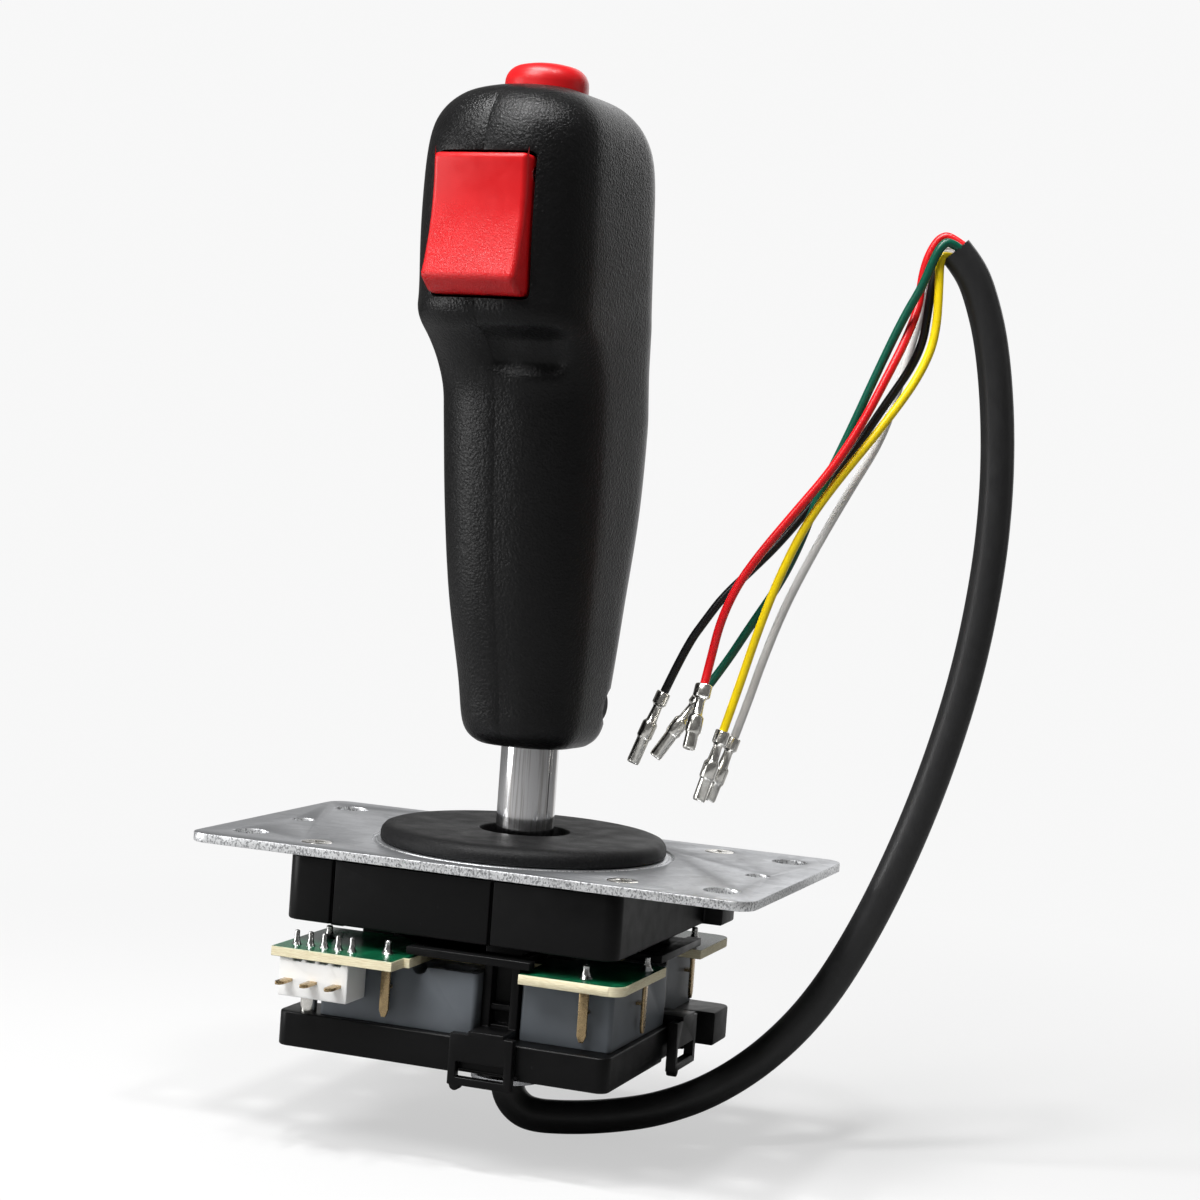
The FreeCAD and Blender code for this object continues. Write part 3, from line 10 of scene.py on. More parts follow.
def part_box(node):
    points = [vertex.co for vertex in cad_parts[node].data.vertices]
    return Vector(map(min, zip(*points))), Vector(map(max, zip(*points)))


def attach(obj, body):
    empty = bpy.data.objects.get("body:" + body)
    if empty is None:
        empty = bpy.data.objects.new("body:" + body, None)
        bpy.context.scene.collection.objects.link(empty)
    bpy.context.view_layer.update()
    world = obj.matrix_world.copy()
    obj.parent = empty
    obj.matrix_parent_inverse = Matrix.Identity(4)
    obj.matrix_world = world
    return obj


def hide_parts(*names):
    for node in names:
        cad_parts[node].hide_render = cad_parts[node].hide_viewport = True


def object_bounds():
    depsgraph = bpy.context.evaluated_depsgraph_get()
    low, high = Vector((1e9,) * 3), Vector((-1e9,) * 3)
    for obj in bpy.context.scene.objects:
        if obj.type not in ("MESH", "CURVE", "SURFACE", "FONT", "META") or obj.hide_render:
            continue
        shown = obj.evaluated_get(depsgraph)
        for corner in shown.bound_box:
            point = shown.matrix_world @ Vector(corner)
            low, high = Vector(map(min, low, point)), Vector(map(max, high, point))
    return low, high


bl_info = {
    "name": "Trigger Grip Lever",
    "version": (1, 0, 0),
    "blender": (4, 5, 0),
    "location": "View3D > Sidebar > Lever",
    "description": "Models and finishes a pistol grip lever on its four-switch base",
    "category": "Object",
}

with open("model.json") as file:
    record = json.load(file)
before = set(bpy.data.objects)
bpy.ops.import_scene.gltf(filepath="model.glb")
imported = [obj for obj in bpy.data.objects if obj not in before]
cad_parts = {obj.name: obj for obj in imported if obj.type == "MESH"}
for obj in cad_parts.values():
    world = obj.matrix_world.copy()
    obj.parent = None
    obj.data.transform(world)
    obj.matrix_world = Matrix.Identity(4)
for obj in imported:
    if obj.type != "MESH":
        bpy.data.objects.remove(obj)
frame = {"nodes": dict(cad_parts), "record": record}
CAD_LOW, CAD_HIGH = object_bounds()
NODE_SLOT = {row["node"]: row["material_slot"] for row in frame["record"]["subparts"]}

MM = 0.001
SIDES = ("front", "right", "back", "left")
WIRE_COLOURS = ("red", "green", "black", "yellow", "white")

# The grip is modelled straight and then turned about the shaft.
GRIP_TURN = math.radians(-6.5)

# Grip from the bottom up, in millimetres: height, half width, reach to the front,
# reach to the back, corner radius.
GRIP_STATIONS = [
    (17.6, 7.8, 8.6, 9.4, 6.4),
    (20.4, 10.6, 11.6, 12.0, 8.5),
    (29.0, 11.8, 13.2, 13.2, 9.5),
    (43.0, 13.3, 16.9, 14.2, 11.0),
    (58.0, 14.4, 19.2, 15.8, 12.0),
    (72.0, 14.9, 20.9, 16.0, 12.4),
    (77.5, 15.0, 21.8, 15.4, 12.5),
    (82.0, 15.3, 23.9, 14.2, 12.5),
    (85.4, 15.6, 26.6, 13.4, 12.5),
    (87.8, 15.7, 29.3, 13.0, 12.4),
    (90.0, 15.8, 30.4, 12.6, 12.3),
    (93.5, 15.8, 30.4, 12.1, 12.3),
    (104.0, 15.9, 31.0, 10.8, 12.3),
    (116.0, 15.5, 30.8, 9.8, 12.0),
    (121.8, 14.2, 29.2, 7.2, 11.2),
    (125.5, 10.9, 25.6, 3.2, 9.0),
    (127.2, 6.4, 20.4, -2.0, 5.6),
]
GRIP_ARC_STEPS = 9
GRIP_WALL = 2.6
UPPER_SCREW_WELL = (-9.0 * MM, 47.5 * MM)
LOWER_SCREW_WELL = (7.4 * MM, 25.0 * MM)
SCREW_WELL_RADIUS = 3.1 * MM

# Trigger profile in millimetres, as reach from the shaft and height.
TRIGGER_BACK = 24.2
TRIGGER_TOP = (32.3, 114.4)
TRIGGER_DISH = 32.1
TRIGGER_STEPS = 12
TRIGGER_LIP = (34.2, 94.3)
TRIGGER_BASE = (31.2, 91.9)
TRIGGER_HALF = 8.5

# Cord routes in millimetres lie near the upright plane through the shaft that faces the
# viewer, as (out from the shaft along the plane, up, towards the viewer).
ROUTE_TURN = math.radians(19.6)
CABLE_ROUTE = [
    (0.0, -38.4, 0.0), (0.0, -41.9, 0.0), (1.8, -44.9, 0.0), (4.8, -46.5, 0.0), (11.5, -46.4, 0.0),
    (18.5, -45.6, 0.0), (26.5, -43.9, 0.0), (35.5, -40.0, 0.0), (44.5, -33.2, 0.0), (52.5, -23.8, 0.0),
    (59.2, -11.4, 0.0), (65.3, 3.6, 0.0), (70.3, 19.6, 0.0), (74.0, 36.0, 0.0), (76.0, 52.4, 0.0),
    (76.4, 66.0, 0.0), (75.6, 79.0, 0.0), (73.6, 91.6, 0.0), (70.9, 100.0, 0.0), (68.6, 104.4, 0.0),
    (66.1, 107.0, 0.0),
]
WIRE_ROUTES = {
    "red": [
        (67.7, 107.8, -0.6), (65.2, 109.6, -1.2), (63.6, 109.2, -1.7), (62.4, 107.4, -1.8),
        (61.4, 104.6, -1.8), (60.9, 101.0, -1.8), (60.9, 97.6, -1.4), (58.9, 91.6, 0.9), (56.4, 85.9, 2.8),
        (52.1, 76.2, 3.9), (47.5, 68.1, 4.0), (41.6, 60.2, 4.0), (36.4, 53.0, 4.0), (33.0, 47.4, 4.0),
        (30.7, 41.2, 4.1), (29.6, 34.6, 3.3), (28.8, 30.5, 4.4),
    ],
    "green": [
        (66.9, 107.0, 2.0), (64.8, 108.3, 2.5), (63.4, 107.5, 2.7), (62.3, 105.2, 2.5), (60.8, 100.5, 1.9),
        (58.0, 94.9, 1.4), (54.1, 84.8, 1.0), (50.3, 74.5, 0.9), (46.0, 63.9, 0.9), (43.8, 56.1, 0.8),
        (40.7, 48.5, 0.6), (36.1, 40.7, 0.3), (32.3, 33.7, -0.5), (28.8, 28.5, -0.2),
    ],
    "black": [
        (65.4, 105.4, -0.8), (63.6, 105.5, -0.9), (63.1, 103.4, -0.8), (62.6, 99.8, -0.7),
        (62.3, 95.7, -0.8), (61.9, 91.1, -1.0), (60.2, 86.5, -1.3), (56.9, 81.0, -1.6), (52.2, 72.8, -1.8),
        (46.2, 63.6, -1.8), (40.4, 55.5, -1.8), (35.7, 50.2, -1.8), (31.2, 45.3, -1.8), (28.6, 41.3, -1.8),
        (25.5, 36.3, -2.1), (22.3, 28.2, -1.8),
    ],
    "yellow": [
        (65.6, 105.7, 0.9), (63.9, 106.1, 1.0), (63.5, 104.4, 1.1), (63.6, 101.6, 1.3), (63.7, 98.0, 1.5),
        (63.7, 94.1, 1.7), (63.1, 89.8, 2.0), (61.1, 84.9, 2.3), (58.4, 80.3, 2.6), (54.1, 73.9, 2.8),
        (49.6, 67.6, 2.9), (45.5, 61.3, 2.9), (42.7, 55.8, 2.9), (39.7, 48.0, 2.9), (37.1, 39.4, 2.9),
        (34.7, 29.8, 2.4), (32.7, 22.7, 2.9),
    ],
    "white": [
        (66.5, 106.6, -2.0), (64.6, 107.3, -2.7), (63.6, 105.3, -3.2), (62.4, 100.8, -3.8),
        (60.9, 93.1, -4.3), (58.9, 83.8, -4.7), (56.7, 74.5, -4.8), (51.8, 65.2, -4.8), (46.6, 54.6, -4.8),
        (42.1, 44.3, -4.8), (38.9, 34.4, -4.8), (37.0, 27.2, -5.1), (35.1, 21.0, -4.8),
    ],
}
TERMINAL_TIPS = {
    "red": (26.8, 19.6, 7.6),
    "green": (21.4, 17.1, 0.6),
    "black": (17.7, 15.6, -1.2),
    "yellow": (29.3, 10.5, 3.9),
    "white": (31.4, 9.7, -4.0),
}
# Wire end of each socket in millimetres, as radius and height: crimp, neck and barrel.
SOCKET_PROFILE = [
    (1.0, 0.0), (1.26, 0.1), (1.34, 0.35), (1.34, 2.2), (1.2, 2.4), (0.86, 2.65), (0.8, 3.0), (0.94, 5.3),
    (1.05, 5.5), (1.3, 5.8), (1.36, 6.1), (1.36, 8.4), (1.2, 8.7), (1.12, 8.9),
]

# Camera of the photograph: 19.6 degrees to the right of the plate's front, just above it.
CAMERA_TURN = math.radians(19.59)
CAMERA_RISE = math.radians(2.645)
CAMERA_ROLL = math.radians(4.155)
CAMERA_DISTANCE = 447.3 * MM
CAMERA_ASIDE = 13.2 * MM
CAMERA_ABOVE = 42.4 * MM
CAMERA_LENS = 78.0

BACKDROP = (0.935, 0.935, 0.935, 1.0)
ROOM_LIGHT = (0.13, 0.128, 0.125, 1.0)

# The floor's paint shows near the object by a share that fades out over these distances.
FLOOR_PAINT = (0.6, 0.6, 0.6, 1.0)
FLOOR_BOUNCE = (0.28, 0.28, 0.28, 1.0)
FLOOR_SHARE = 0.42
FLOOR_NEAR = 0.07
FLOOR_FAR = 0.3
FLOOR_RADIUS = 6.0

# Shiny surfaces mirror the backdrop only where it lies this far behind, of a full length of 1.
BEHIND_START = 0.8
BEHIND_END = 0.98

# Lamps, as name, place, width, height and power. Each faces a point above the plate.
LAMPS = (
    ("key_softbox", (-0.22, -0.44, 0.6), 0.34, 0.34, 4.9),
    ("top_left_lamp", (-0.2, -0.14, 0.72), 0.06, 0.06, 2.0),
    ("top_lamp", (-0.02, -0.2, 0.75), 0.08, 0.08, 2.8),
    ("top_right_lamp", (0.2, -0.16, 0.72), 0.06, 0.06, 1.5),
    ("left_fill", (-0.5, -0.28, 0.08), 0.25, 0.3, 1.7),
    ("right_strip", (0.5, 0.2, 0.2), 0.12, 0.5, 0.1),
    ("back_softbox", (0.05, 0.6, 0.4), 0.5, 0.4, 0.6),
)
LAMP_TARGET = Vector((0, 0, 0.05))

# Finished materials by the name of their slot, filled by make_materials.
MATERIALS = {}


def size_property(name, description, default, low, high):
    """Length that is given in millimetres."""
    return FloatProperty(name=name, description=description, default=default * MM,
                         min=low * MM, max=high * MM, unit="LENGTH")


class LeverSizes(bpy.types.PropertyGroup):
    """Sizes that a user may change before the pieces are made."""

    edge_round: size_property("Edge rounding", "Rounding of the moulded edges of the base", 0.35, 0.05, 1.0)
    seam_width: size_property("Seam", "Half the width of the line between the grip halves", 0.05, 0.02, 0.5)
    grain_size: size_property("Grip grain", "Size of one pebble of the grip's grain", 0.42, 0.2, 2.0)
    cable_diameter: size_property("Cable", "Outer diameter of the cable jacket", 5.8, 2.0, 8.0)
    wire_diameter: size_property("Wire", "Outer diameter of each wire", 1.5, 0.5, 2.0)


def colour_property(name, description, default):
    return FloatVectorProperty(name=name, description=description, default=default,
                               size=4, min=0.0, max=1.0, subtype="COLOR")


class LeverColours(bpy.types.PropertyGroup):
    """Colours of the main finishes."""

    grip: colour_property("Grip", "Colour of the grip shell", (0.0045, 0.0045, 0.0047, 1.0))
    red: colour_property("Red plastic", "Colour of the trigger and the button", (0.53, 0.0045, 0.007, 1.0))
    base: colour_property("Base plastic", "Colour of the housing and cover", (0.0038, 0.0038, 0.004, 1.0))
    switch: colour_property("Switch cases", "Colour of the switch cases", (0.118, 0.132, 0.148, 1.0))
    board: colour_property("Board", "Colour of the board's lacquer", (0.002, 0.058, 0.024, 1.0))
    zinc: colour_property("Plate", "Colour of the zinc on the plate", (0.5, 0.51, 0.53, 1.0))


def clear_selection():
    if bpy.context.mode != "OBJECT":
        bpy.ops.object.mode_set(mode="OBJECT")
    bpy.ops.object.select_all(action="DESELECT")


def activate(obj):
    clear_selection()
    obj.select_set(True)
    bpy.context.view_layer.objects.active = obj


def edit(obj, kind="FACE", action="DESELECT"):
    """Start edit mode on one object with nothing or everything selected."""
    activate(obj)
    bpy.ops.object.mode_set(mode="EDIT")
    bpy.ops.mesh.select_mode(type=kind)
    bpy.ops.mesh.select_all(action=action)


def leave_edit():
    bpy.ops.object.mode_set(mode="OBJECT")


def pick(obj, kind, test):
    """Select the faces, edges or vertices that pass the test, in edit mode."""
    mesh = bmesh.from_edit_mesh(obj.data)
    for item in getattr(mesh, kind):
        if test(item):
            item.select_set(True)
    bmesh.update_edit_mesh(obj.data)


def close_up():
    """Merge doubles and point the faces outwards, in edit mode."""
    bpy.ops.mesh.select_all(action="SELECT")
    bpy.ops.mesh.remove_doubles(threshold=1e-7)
    bpy.ops.mesh.normals_make_consistent(inside=False)


def fresh(name):
    """Name the primitive that was just added."""
    obj = bpy.context.object
    obj.name = name
    obj.data.name = name
    return obj


def apply_place(obj):
    activate(obj)
    bpy.ops.object.transform_apply(location=True, rotation=True, scale=True)


def turn(obj, angle):
    """Turn a finished mesh about the shaft."""
    obj.matrix_world = Matrix.Rotation(angle, 4, "Z") @ obj.matrix_world
    apply_place(obj)


def modify(obj, kind, **settings):
    """Add one modifier and apply it."""
    modifier = obj.modifiers.new(kind.title(), kind)
    for name, value in settings.items():
        setattr(modifier, name, value)
    activate(obj)
    bpy.ops.object.modifier_apply(modifier=modifier.name)


def ease_edges(obj, width, segments=2, angle=30):
    modify(obj, "BEVEL", width=width, segments=segments, limit_method="ANGLE",
           angle_limit=math.radians(angle), use_clamp_overlap=False, miter_outer="MITER_ARC")


def block(name, low, high):
    """Box between two corners, as a start for a piece or a cutter."""
    low, high = Vector(low), Vector(high)
    clear_selection()
    bpy.ops.mesh.primitive_cube_add(size=1, location=(low + high) / 2)
    obj = fresh(name)
    obj.scale = high - low
    apply_place(obj)
    return obj


def rod(name, centre, radius, length, axis="Z", vertices=48):
    """Cylinder about a centre, as a cutter."""
    turns = {"X": (0, math.pi / 2, 0), "Y": (math.pi / 2, 0, 0), "Z": (0, 0, 0)}
    clear_selection()
    bpy.ops.mesh.primitive_cylinder_add(vertices=vertices, radius=radius, depth=length,
                                        location=centre, rotation=turns[axis])
    obj = fresh(name)
    apply_place(obj)
    return obj


def turned(name, profile, vertices=64, centre=(0.0, 0.0)):
    """Upright turned solid: a disc extruded and resized along its profile of radius and height."""
    radius, height = profile[0]
    clear_selection()
    bpy.ops.mesh.primitive_circle_add(vertices=vertices, radius=radius, fill_type="NGON",
                                      location=(centre[0], centre[1], height))
    obj = fresh(name)
    edit(obj, action="SELECT")
    for next_radius, next_height in profile[1:]:
        bpy.ops.mesh.extrude_region_move(TRANSFORM_OT_translate={"value": (0, 0, next_height - height)})
        share = next_radius / radius
        bpy.ops.transform.resize(value=(share, share, 1), center_override=(centre[0], centre[1], next_height))
        radius, height = next_radius, next_height
    close_up()
    leave_edit()
    apply_place(obj)
    return obj


def prism(name, outline, low, high, axis=0):
    """Outline across two axes, extruded along the third from low to high."""
    clear_selection()
    bpy.ops.mesh.primitive_circle_add(vertices=len(outline), radius=1, fill_type="NGON")
    obj = fresh(name)
    edit(obj)
    mesh = bmesh.from_edit_mesh(obj.data)
    for vertex, point in zip(mesh.verts, outline):
        spot = list(point)
        spot.insert(axis, low)
        vertex.co = spot
    bmesh.update_edit_mesh(obj.data)
    bpy.ops.mesh.select_all(action="SELECT")
    step = [0.0, 0.0, 0.0]
    step[axis] = high - low
    bpy.ops.mesh.extrude_region_move(TRANSFORM_OT_translate={"value": step})
    close_up()
    leave_edit()
    return obj


def join(objects):
    """One object from several, under the first one's name."""
    activate(objects[0])
    for obj in objects:
        obj.select_set(True)
    bpy.ops.object.join()
    return objects[0]


def carve(obj, cutters):
    """Take the cutters away from a solid."""
    cutter = join(cutters) if len(cutters) > 1 else cutters[0]
    modify(obj, "BOOLEAN", operation="DIFFERENCE", solver="EXACT", object=cutter, use_self=len(cutters) > 1)
    bpy.data.objects.remove(cutter, do_unlink=True)


def duplicate(obj, name):
    """Copy of a piece with its own mesh."""
    activate(obj)
    bpy.ops.object.duplicate(linked=False)
    return fresh(name)


def copy_node(node, name):
    """Editable copy of a CAD node: its loose triangles merged and its flat faces made whole."""
    obj = bpy.data.objects.new(name, frame["nodes"][node].data.copy())
    bpy.context.scene.collection.objects.link(obj)
    obj.data.materials.clear()
    edit(obj, action="SELECT")
    bpy.ops.mesh.remove_doubles(threshold=2e-6)
    bpy.ops.mesh.dissolve_limited(angle_limit=math.radians(0.4))
    bpy.ops.mesh.customdata_custom_splitnormals_clear()
    leave_edit()
    return obj


def seat(obj, body, nodes=()):
    """Put a finished piece on its body, in place of its CAD nodes."""
    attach(obj, body)
    if nodes:
        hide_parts(*nodes)
    return obj


def finish_piece(obj, body, slot, nodes=(), angle=35, material=None):
    """Shade, colour and seat a finished piece on its body, in its slot's material unless one is named."""
    activate(obj)
    bpy.ops.object.shade_smooth_by_angle(angle=math.radians(angle))
    if not obj.data.materials:
        obj.data.materials.append(MATERIALS[material or slot])
    return seat(obj, body, nodes)


class Nodes:
    """Short calls for the nodes of a material or a world."""

    def __init__(self, tree):
        self.tree = tree

    def add(self, kind, feeds=(), **settings):
        node = self.tree.nodes.new(kind)
        for name, value in settings.items():
            setattr(node, name, value)
        for socket, value in dict(feeds).items():
            self.feed(node.inputs[socket], value)
        return node

    def feed(self, socket, value):
        if isinstance(value, bpy.types.NodeSocket):
            self.tree.links.new(value, socket)
        else:
            socket.default_value = value

    def math(self, operation, one, two):
        return self.add("ShaderNodeMath", {0: one, 1: two}, operation=operation).outputs[0]

    def blend(self, share, one, two):
        """Two shaders, the second by a share."""
        return self.add("ShaderNodeMixShader", {0: share, 1: one, 2: two}).outputs[0]


class Finish(Nodes):
    """Material under construction, with short calls for its patterns."""

    def __init__(self, name, colour, roughness, metallic=0.0, **sockets):
        self.material = bpy.data.materials.new(name)
        self.material.use_nodes = True
        super().__init__(self.material.node_tree)
        self.shader = self.tree.nodes["Principled BSDF"]
        self.shader.inputs["Base Color"].default_value = tuple(colour)
        self.shader.inputs["Roughness"].default_value = roughness
        self.shader.inputs["Metallic"].default_value = metallic
        for socket, value in sockets.items():
            self.shader.inputs[socket.replace("_", " ").title().replace("Ior", "IOR")].default_value = value
        self.place = self.add("ShaderNodeTexCoord").outputs["Object"]
        self.relief = None

    def stretch(self, scale, turn=(0, 0, 0)):
        """Object coordinates with another scale on each axis."""
        feeds = {"Vector": self.place, "Scale": scale, "Rotation": turn}
        return self.add("ShaderNodeMapping", feeds).outputs[0]

    def noise(self, size, detail=2.0, distortion=0.0, place=None):
        """Cloudy pattern whose features are about size across."""
        feeds = {"Vector": place or self.place, "Scale": 1.0 / size, "Detail": detail, "Distortion": distortion}
        return self.add("ShaderNodeTexNoise", feeds).outputs[0]

    def cells(self, size, feature="F1", output="Distance", place=None):
        feeds = {"Vector": place or self.place, "Scale": 1.0 / size}
        return self.add("ShaderNodeTexVoronoi", feeds, feature=feature).outputs[output]

    def ramp(self, source, low, high, from_value=0.0, to_value=1.0):
        """Map a source between two levels to two values."""
        feeds = {"Value": source, "From Min": low, "From Max": high, "To Min": from_value, "To Max": to_value}
        return self.add("ShaderNodeMapRange", feeds).outputs[0]

    def mix(self, share, one, two):
        """Two colours, the second by a share."""
        return self.add("ShaderNodeMix", {0: share, 6: one, 7: two}, data_type="RGBA").outputs[2]

    def cloud(self, size, detail=3.0, from_value=0.0, to_value=1.0):
        """Soft clouds about size across, between two values."""
        return self.ramp(self.noise(size, detail), 0.3, 0.7, from_value, to_value)

    def side(self):
        """One on upright faces, nought on level ones."""
        normal = self.add("ShaderNodeTexCoord").outputs["Normal"]
        up = self.add("ShaderNodeSeparateXYZ", {"Vector": normal}).outputs["Z"]
        return self.ramp(self.math("ABSOLUTE", up, 0.0), 0.9, 0.6)

    def height(self):
        return self.add("ShaderNodeSeparateXYZ", {"Vector": self.place}).outputs["Z"]

    def bump(self, source, depth, strength=1.0):
        feeds = {"Height": source, "Distance": depth, "Strength": strength}
        if self.relief:
            feeds["Normal"] = self.relief
        self.relief = self.add("ShaderNodeBump", feeds).outputs[0]
        return self

    def colour(self, source):
        self.feed(self.shader.inputs["Base Color"], source)
        return self

    def tint(self, source, colour, dark, light):
        """The colour from a darker to a lighter share of itself, as the source rises."""
        return self.colour(self.mix(source, shade(colour, dark), shade(colour, light)))

    def mottle(self, colour, size, dark, light):
        return self.tint(self.cloud(size), colour, dark, light)

    def rough(self, source):
        self.feed(self.shader.inputs["Roughness"], source)
        return self

    def done(self):
        if self.relief:
            self.feed(self.shader.inputs["Normal"], self.relief)
        return self.material


def shade(colour, share):
    """A colour made lighter or darker."""
    return tuple(min(part * share, 1.0) for part in tuple(colour)[:3]) + (1.0,)


def grip_plastic(sizes, colours):
    finish = Finish("grip_plastic", colours.grip, 0.3, specular_ior_level=0.2)
    grain = sizes.grain_size
    pebbles = finish.cells(grain, "SMOOTH_F1")
    creases = finish.noise(grain * 1.1, 3.0, 1.6)
    finish.bump(finish.math("ADD", pebbles, creases), 0.1 * MM, 0.8)
    finish.bump(finish.noise(7 * MM, 2.0), 0.25 * MM, 0.1)
    finish.rough(finish.cloud(14 * MM, 3.0, 0.27, 0.34))
    finish.tint(finish.ramp(creases, 0.35, 0.65), colours.grip, 0.8, 1.35)
    return finish.done()


def red_plastic(colours):
    finish = Finish("red_satin_plastic", colours.red, 0.36, specular_ior_level=0.36)
    grain = finish.noise(0.36 * MM, 3.0, 1.4)
    low_half = finish.ramp(finish.height(), 107 * MM, 97 * MM, 0.12, 1.0)
    finish.bump(finish.math("MULTIPLY", grain, low_half), 0.12 * MM, 0.9)
    finish.mottle(colours.red, 5 * MM, 0.94, 1.05)
    finish.rough(finish.cloud(2.5 * MM, 3.0, 0.31, 0.4))
    return finish.done()


def red_button_plastic(colours):
    finish = Finish("red_button_plastic", colours.red, 0.36, specular_ior_level=0.4)
    finish.bump(finish.noise(0.5 * MM, 3.0, 1.0), 0.05 * MM, 0.5)
    finish.mottle(colours.red, 4 * MM, 0.95, 1.05)
    return finish.done()


def base_plastic(colours):
    finish = Finish("moulded_black_plastic", colours.base, 0.36, specular_ior_level=0.15)
    finish.bump(finish.noise(0.18 * MM, 2.0), 0.02 * MM, 0.35)
    finish.bump(finish.noise(9 * MM, 2.0), 0.12 * MM, 0.12)
    scuffs = finish.noise(0.7 * MM, 4.0, 2.0, finish.stretch((1, 1, 0.18)))
    marks = finish.ramp(scuffs, 0.71, 0.76)
    finish.colour(finish.mix(marks, colours.base, shade(colours.base, 3.2)))
    finish.rough(finish.cloud(3 * MM, 4.0, 0.3, 0.42))
    return finish.done()


def washer_plastic():
    finish = Finish("washer_fine_grain", (0.005, 0.005, 0.0053, 1.0), 0.5, specular_ior_level=0.18)
    fine = finish.noise(0.32 * MM, 4.0, 0.6)
    finish.bump(fine, 0.12 * MM, 0.8)
    finish.bump(finish.noise(2.2 * MM, 3.0), 0.1 * MM, 0.2)
    finish.rough(finish.cloud(4 * MM, 4.0, 0.42, 0.58))
    finish.colour(finish.mix(finish.ramp(fine, 0.4, 0.75), (0.004, 0.004, 0.0043, 1.0),
                             (0.012, 0.012, 0.0125, 1.0)))
    return finish.done()


def zinc_plate(colours):
    finish = Finish("galvanised_zinc", colours.zinc, 0.4, metallic=1.0)
    flakes = finish.cells(2.6 * MM, "F1", "Color")
    spangle = finish.add("ShaderNodeSeparateColor", {"Color": flakes}).outputs[0]
    cloud = finish.noise(1.3 * MM, 5.0, 0.8)
    blend = finish.math("ADD", finish.math("MULTIPLY", spangle, 0.45), finish.math("MULTIPLY", cloud, 0.75))
    tone = finish.mix(finish.ramp(blend, 0.3, 0.9), shade(colours.zinc, 0.88), shade(colours.zinc, 1.12))
    # Upright faces: the bare steel of the cut edges with nicks, painted near white as a painted highlight along
    # the plate's edges.
    nicks_and_painted_glints = finish.ramp(finish.noise(0.3 * MM, 3.0, 0.4, finish.stretch((1, 1, 0.7))), 0.36, 0.52)
    edge = finish.mix(nicks_and_painted_glints, shade(colours.zinc, 0.7), (0.93, 0.94, 0.95, 1.0))
    finish.colour(finish.mix(finish.side(), tone, edge))
    finish.rough(finish.ramp(blend, 0.3, 0.9, 0.44, 0.36))
    finish.bump(cloud, 0.05 * MM, 0.25)
    return finish.done()


def bright_metal(name, colour, roughness, mottle=0.12, relief=0.02):
    finish = Finish(name, colour, roughness, metallic=1.0)
    cloud = finish.noise(0.8 * MM, 4.0, 0.5)
    finish.tint(finish.ramp(cloud, 0.3, 0.7), colour, 1 - mottle, 1 + mottle)
    finish.rough(finish.ramp(cloud, 0.3, 0.7, roughness * 0.8, roughness * 1.3))
    finish.bump(cloud, relief * MM, 0.4)
    return finish.done()


def shaft_chrome():
    finish = Finish("polished_chrome", (0.64, 0.64, 0.65, 1.0), 0.07, metallic=1.0)
    streaks = finish.noise(0.35 * MM, 3.0, 0.0, finish.stretch((1, 1, 0.02)))
    finish.rough(finish.ramp(streaks, 0.3, 0.7, 0.05, 0.12))
    finish.bump(streaks, 0.006 * MM, 0.3)
    finish.colour(finish.mix(finish.ramp(streaks, 0.42, 0.5), (0.5, 0.49, 0.48, 1.0), (0.7, 0.7, 0.71, 1.0)))
    return finish.done()


def switch_plastic(colours):
    finish = Finish("slate_grey_plastic", colours.switch, 0.46, specular_ior_level=0.4)
    finish.bump(finish.noise(0.22 * MM, 3.0), 0.03 * MM, 0.4)
    finish.mottle(colours.switch, 6 * MM, 0.92, 1.08)
    return finish.done()


def board_lacquer(colours):
    finish = Finish("board_lacquer", colours.board, 0.28, specular_ior_level=0.5)
    tracks = finish.ramp(finish.cells(3.2 * MM, "DISTANCE_TO_EDGE"), 0.05, 0.09)
    green = finish.mix(tracks, shade(colours.board, 1.7), colours.board)
    layers = finish.noise(0.25 * MM, 2.0, 0.0, finish.stretch((0.2, 0.2, 4)))
    fibre = finish.mix(finish.ramp(layers, 0.35, 0.65), (0.66, 0.58, 0.37, 1.0), (0.83, 0.77, 0.56, 1.0))
    finish.colour(finish.mix(finish.side(), green, fibre))
    finish.rough(finish.ramp(finish.side(), 0.0, 1.0, 0.27, 0.62))
    finish.bump(layers, 0.02 * MM, 0.3)
    return finish.done()


def white_nylon():
    finish = Finish("white_nylon", (0.88, 0.88, 0.87, 1.0), 0.42, specular_ior_level=0.5)
    finish.bump(finish.noise(0.25 * MM, 2.0), 0.02 * MM, 0.4)
    finish.colour(finish.mix(finish.cloud(3 * MM, 3.0),
                             (0.86, 0.86, 0.845, 1.0), (0.9, 0.9, 0.89, 1.0)))
    return finish.done()


def soft_jacket(name, colour, roughness, relief):
    """Cable or wire insulation with faint unevenness."""
    finish = Finish(name, colour, roughness, specular_ior_level=0.45)
    finish.bump(finish.noise(0.3 * MM, 2.0), relief * MM, 0.4)
    finish.bump(finish.noise(6 * MM, 2.0), relief * 5 * MM, 0.15)
    finish.mottle(colour, 5 * MM, 0.92, 1.08)
    finish.rough(finish.cloud(2 * MM, 3.0, roughness * 0.88, roughness * 1.12))
    return finish.done()


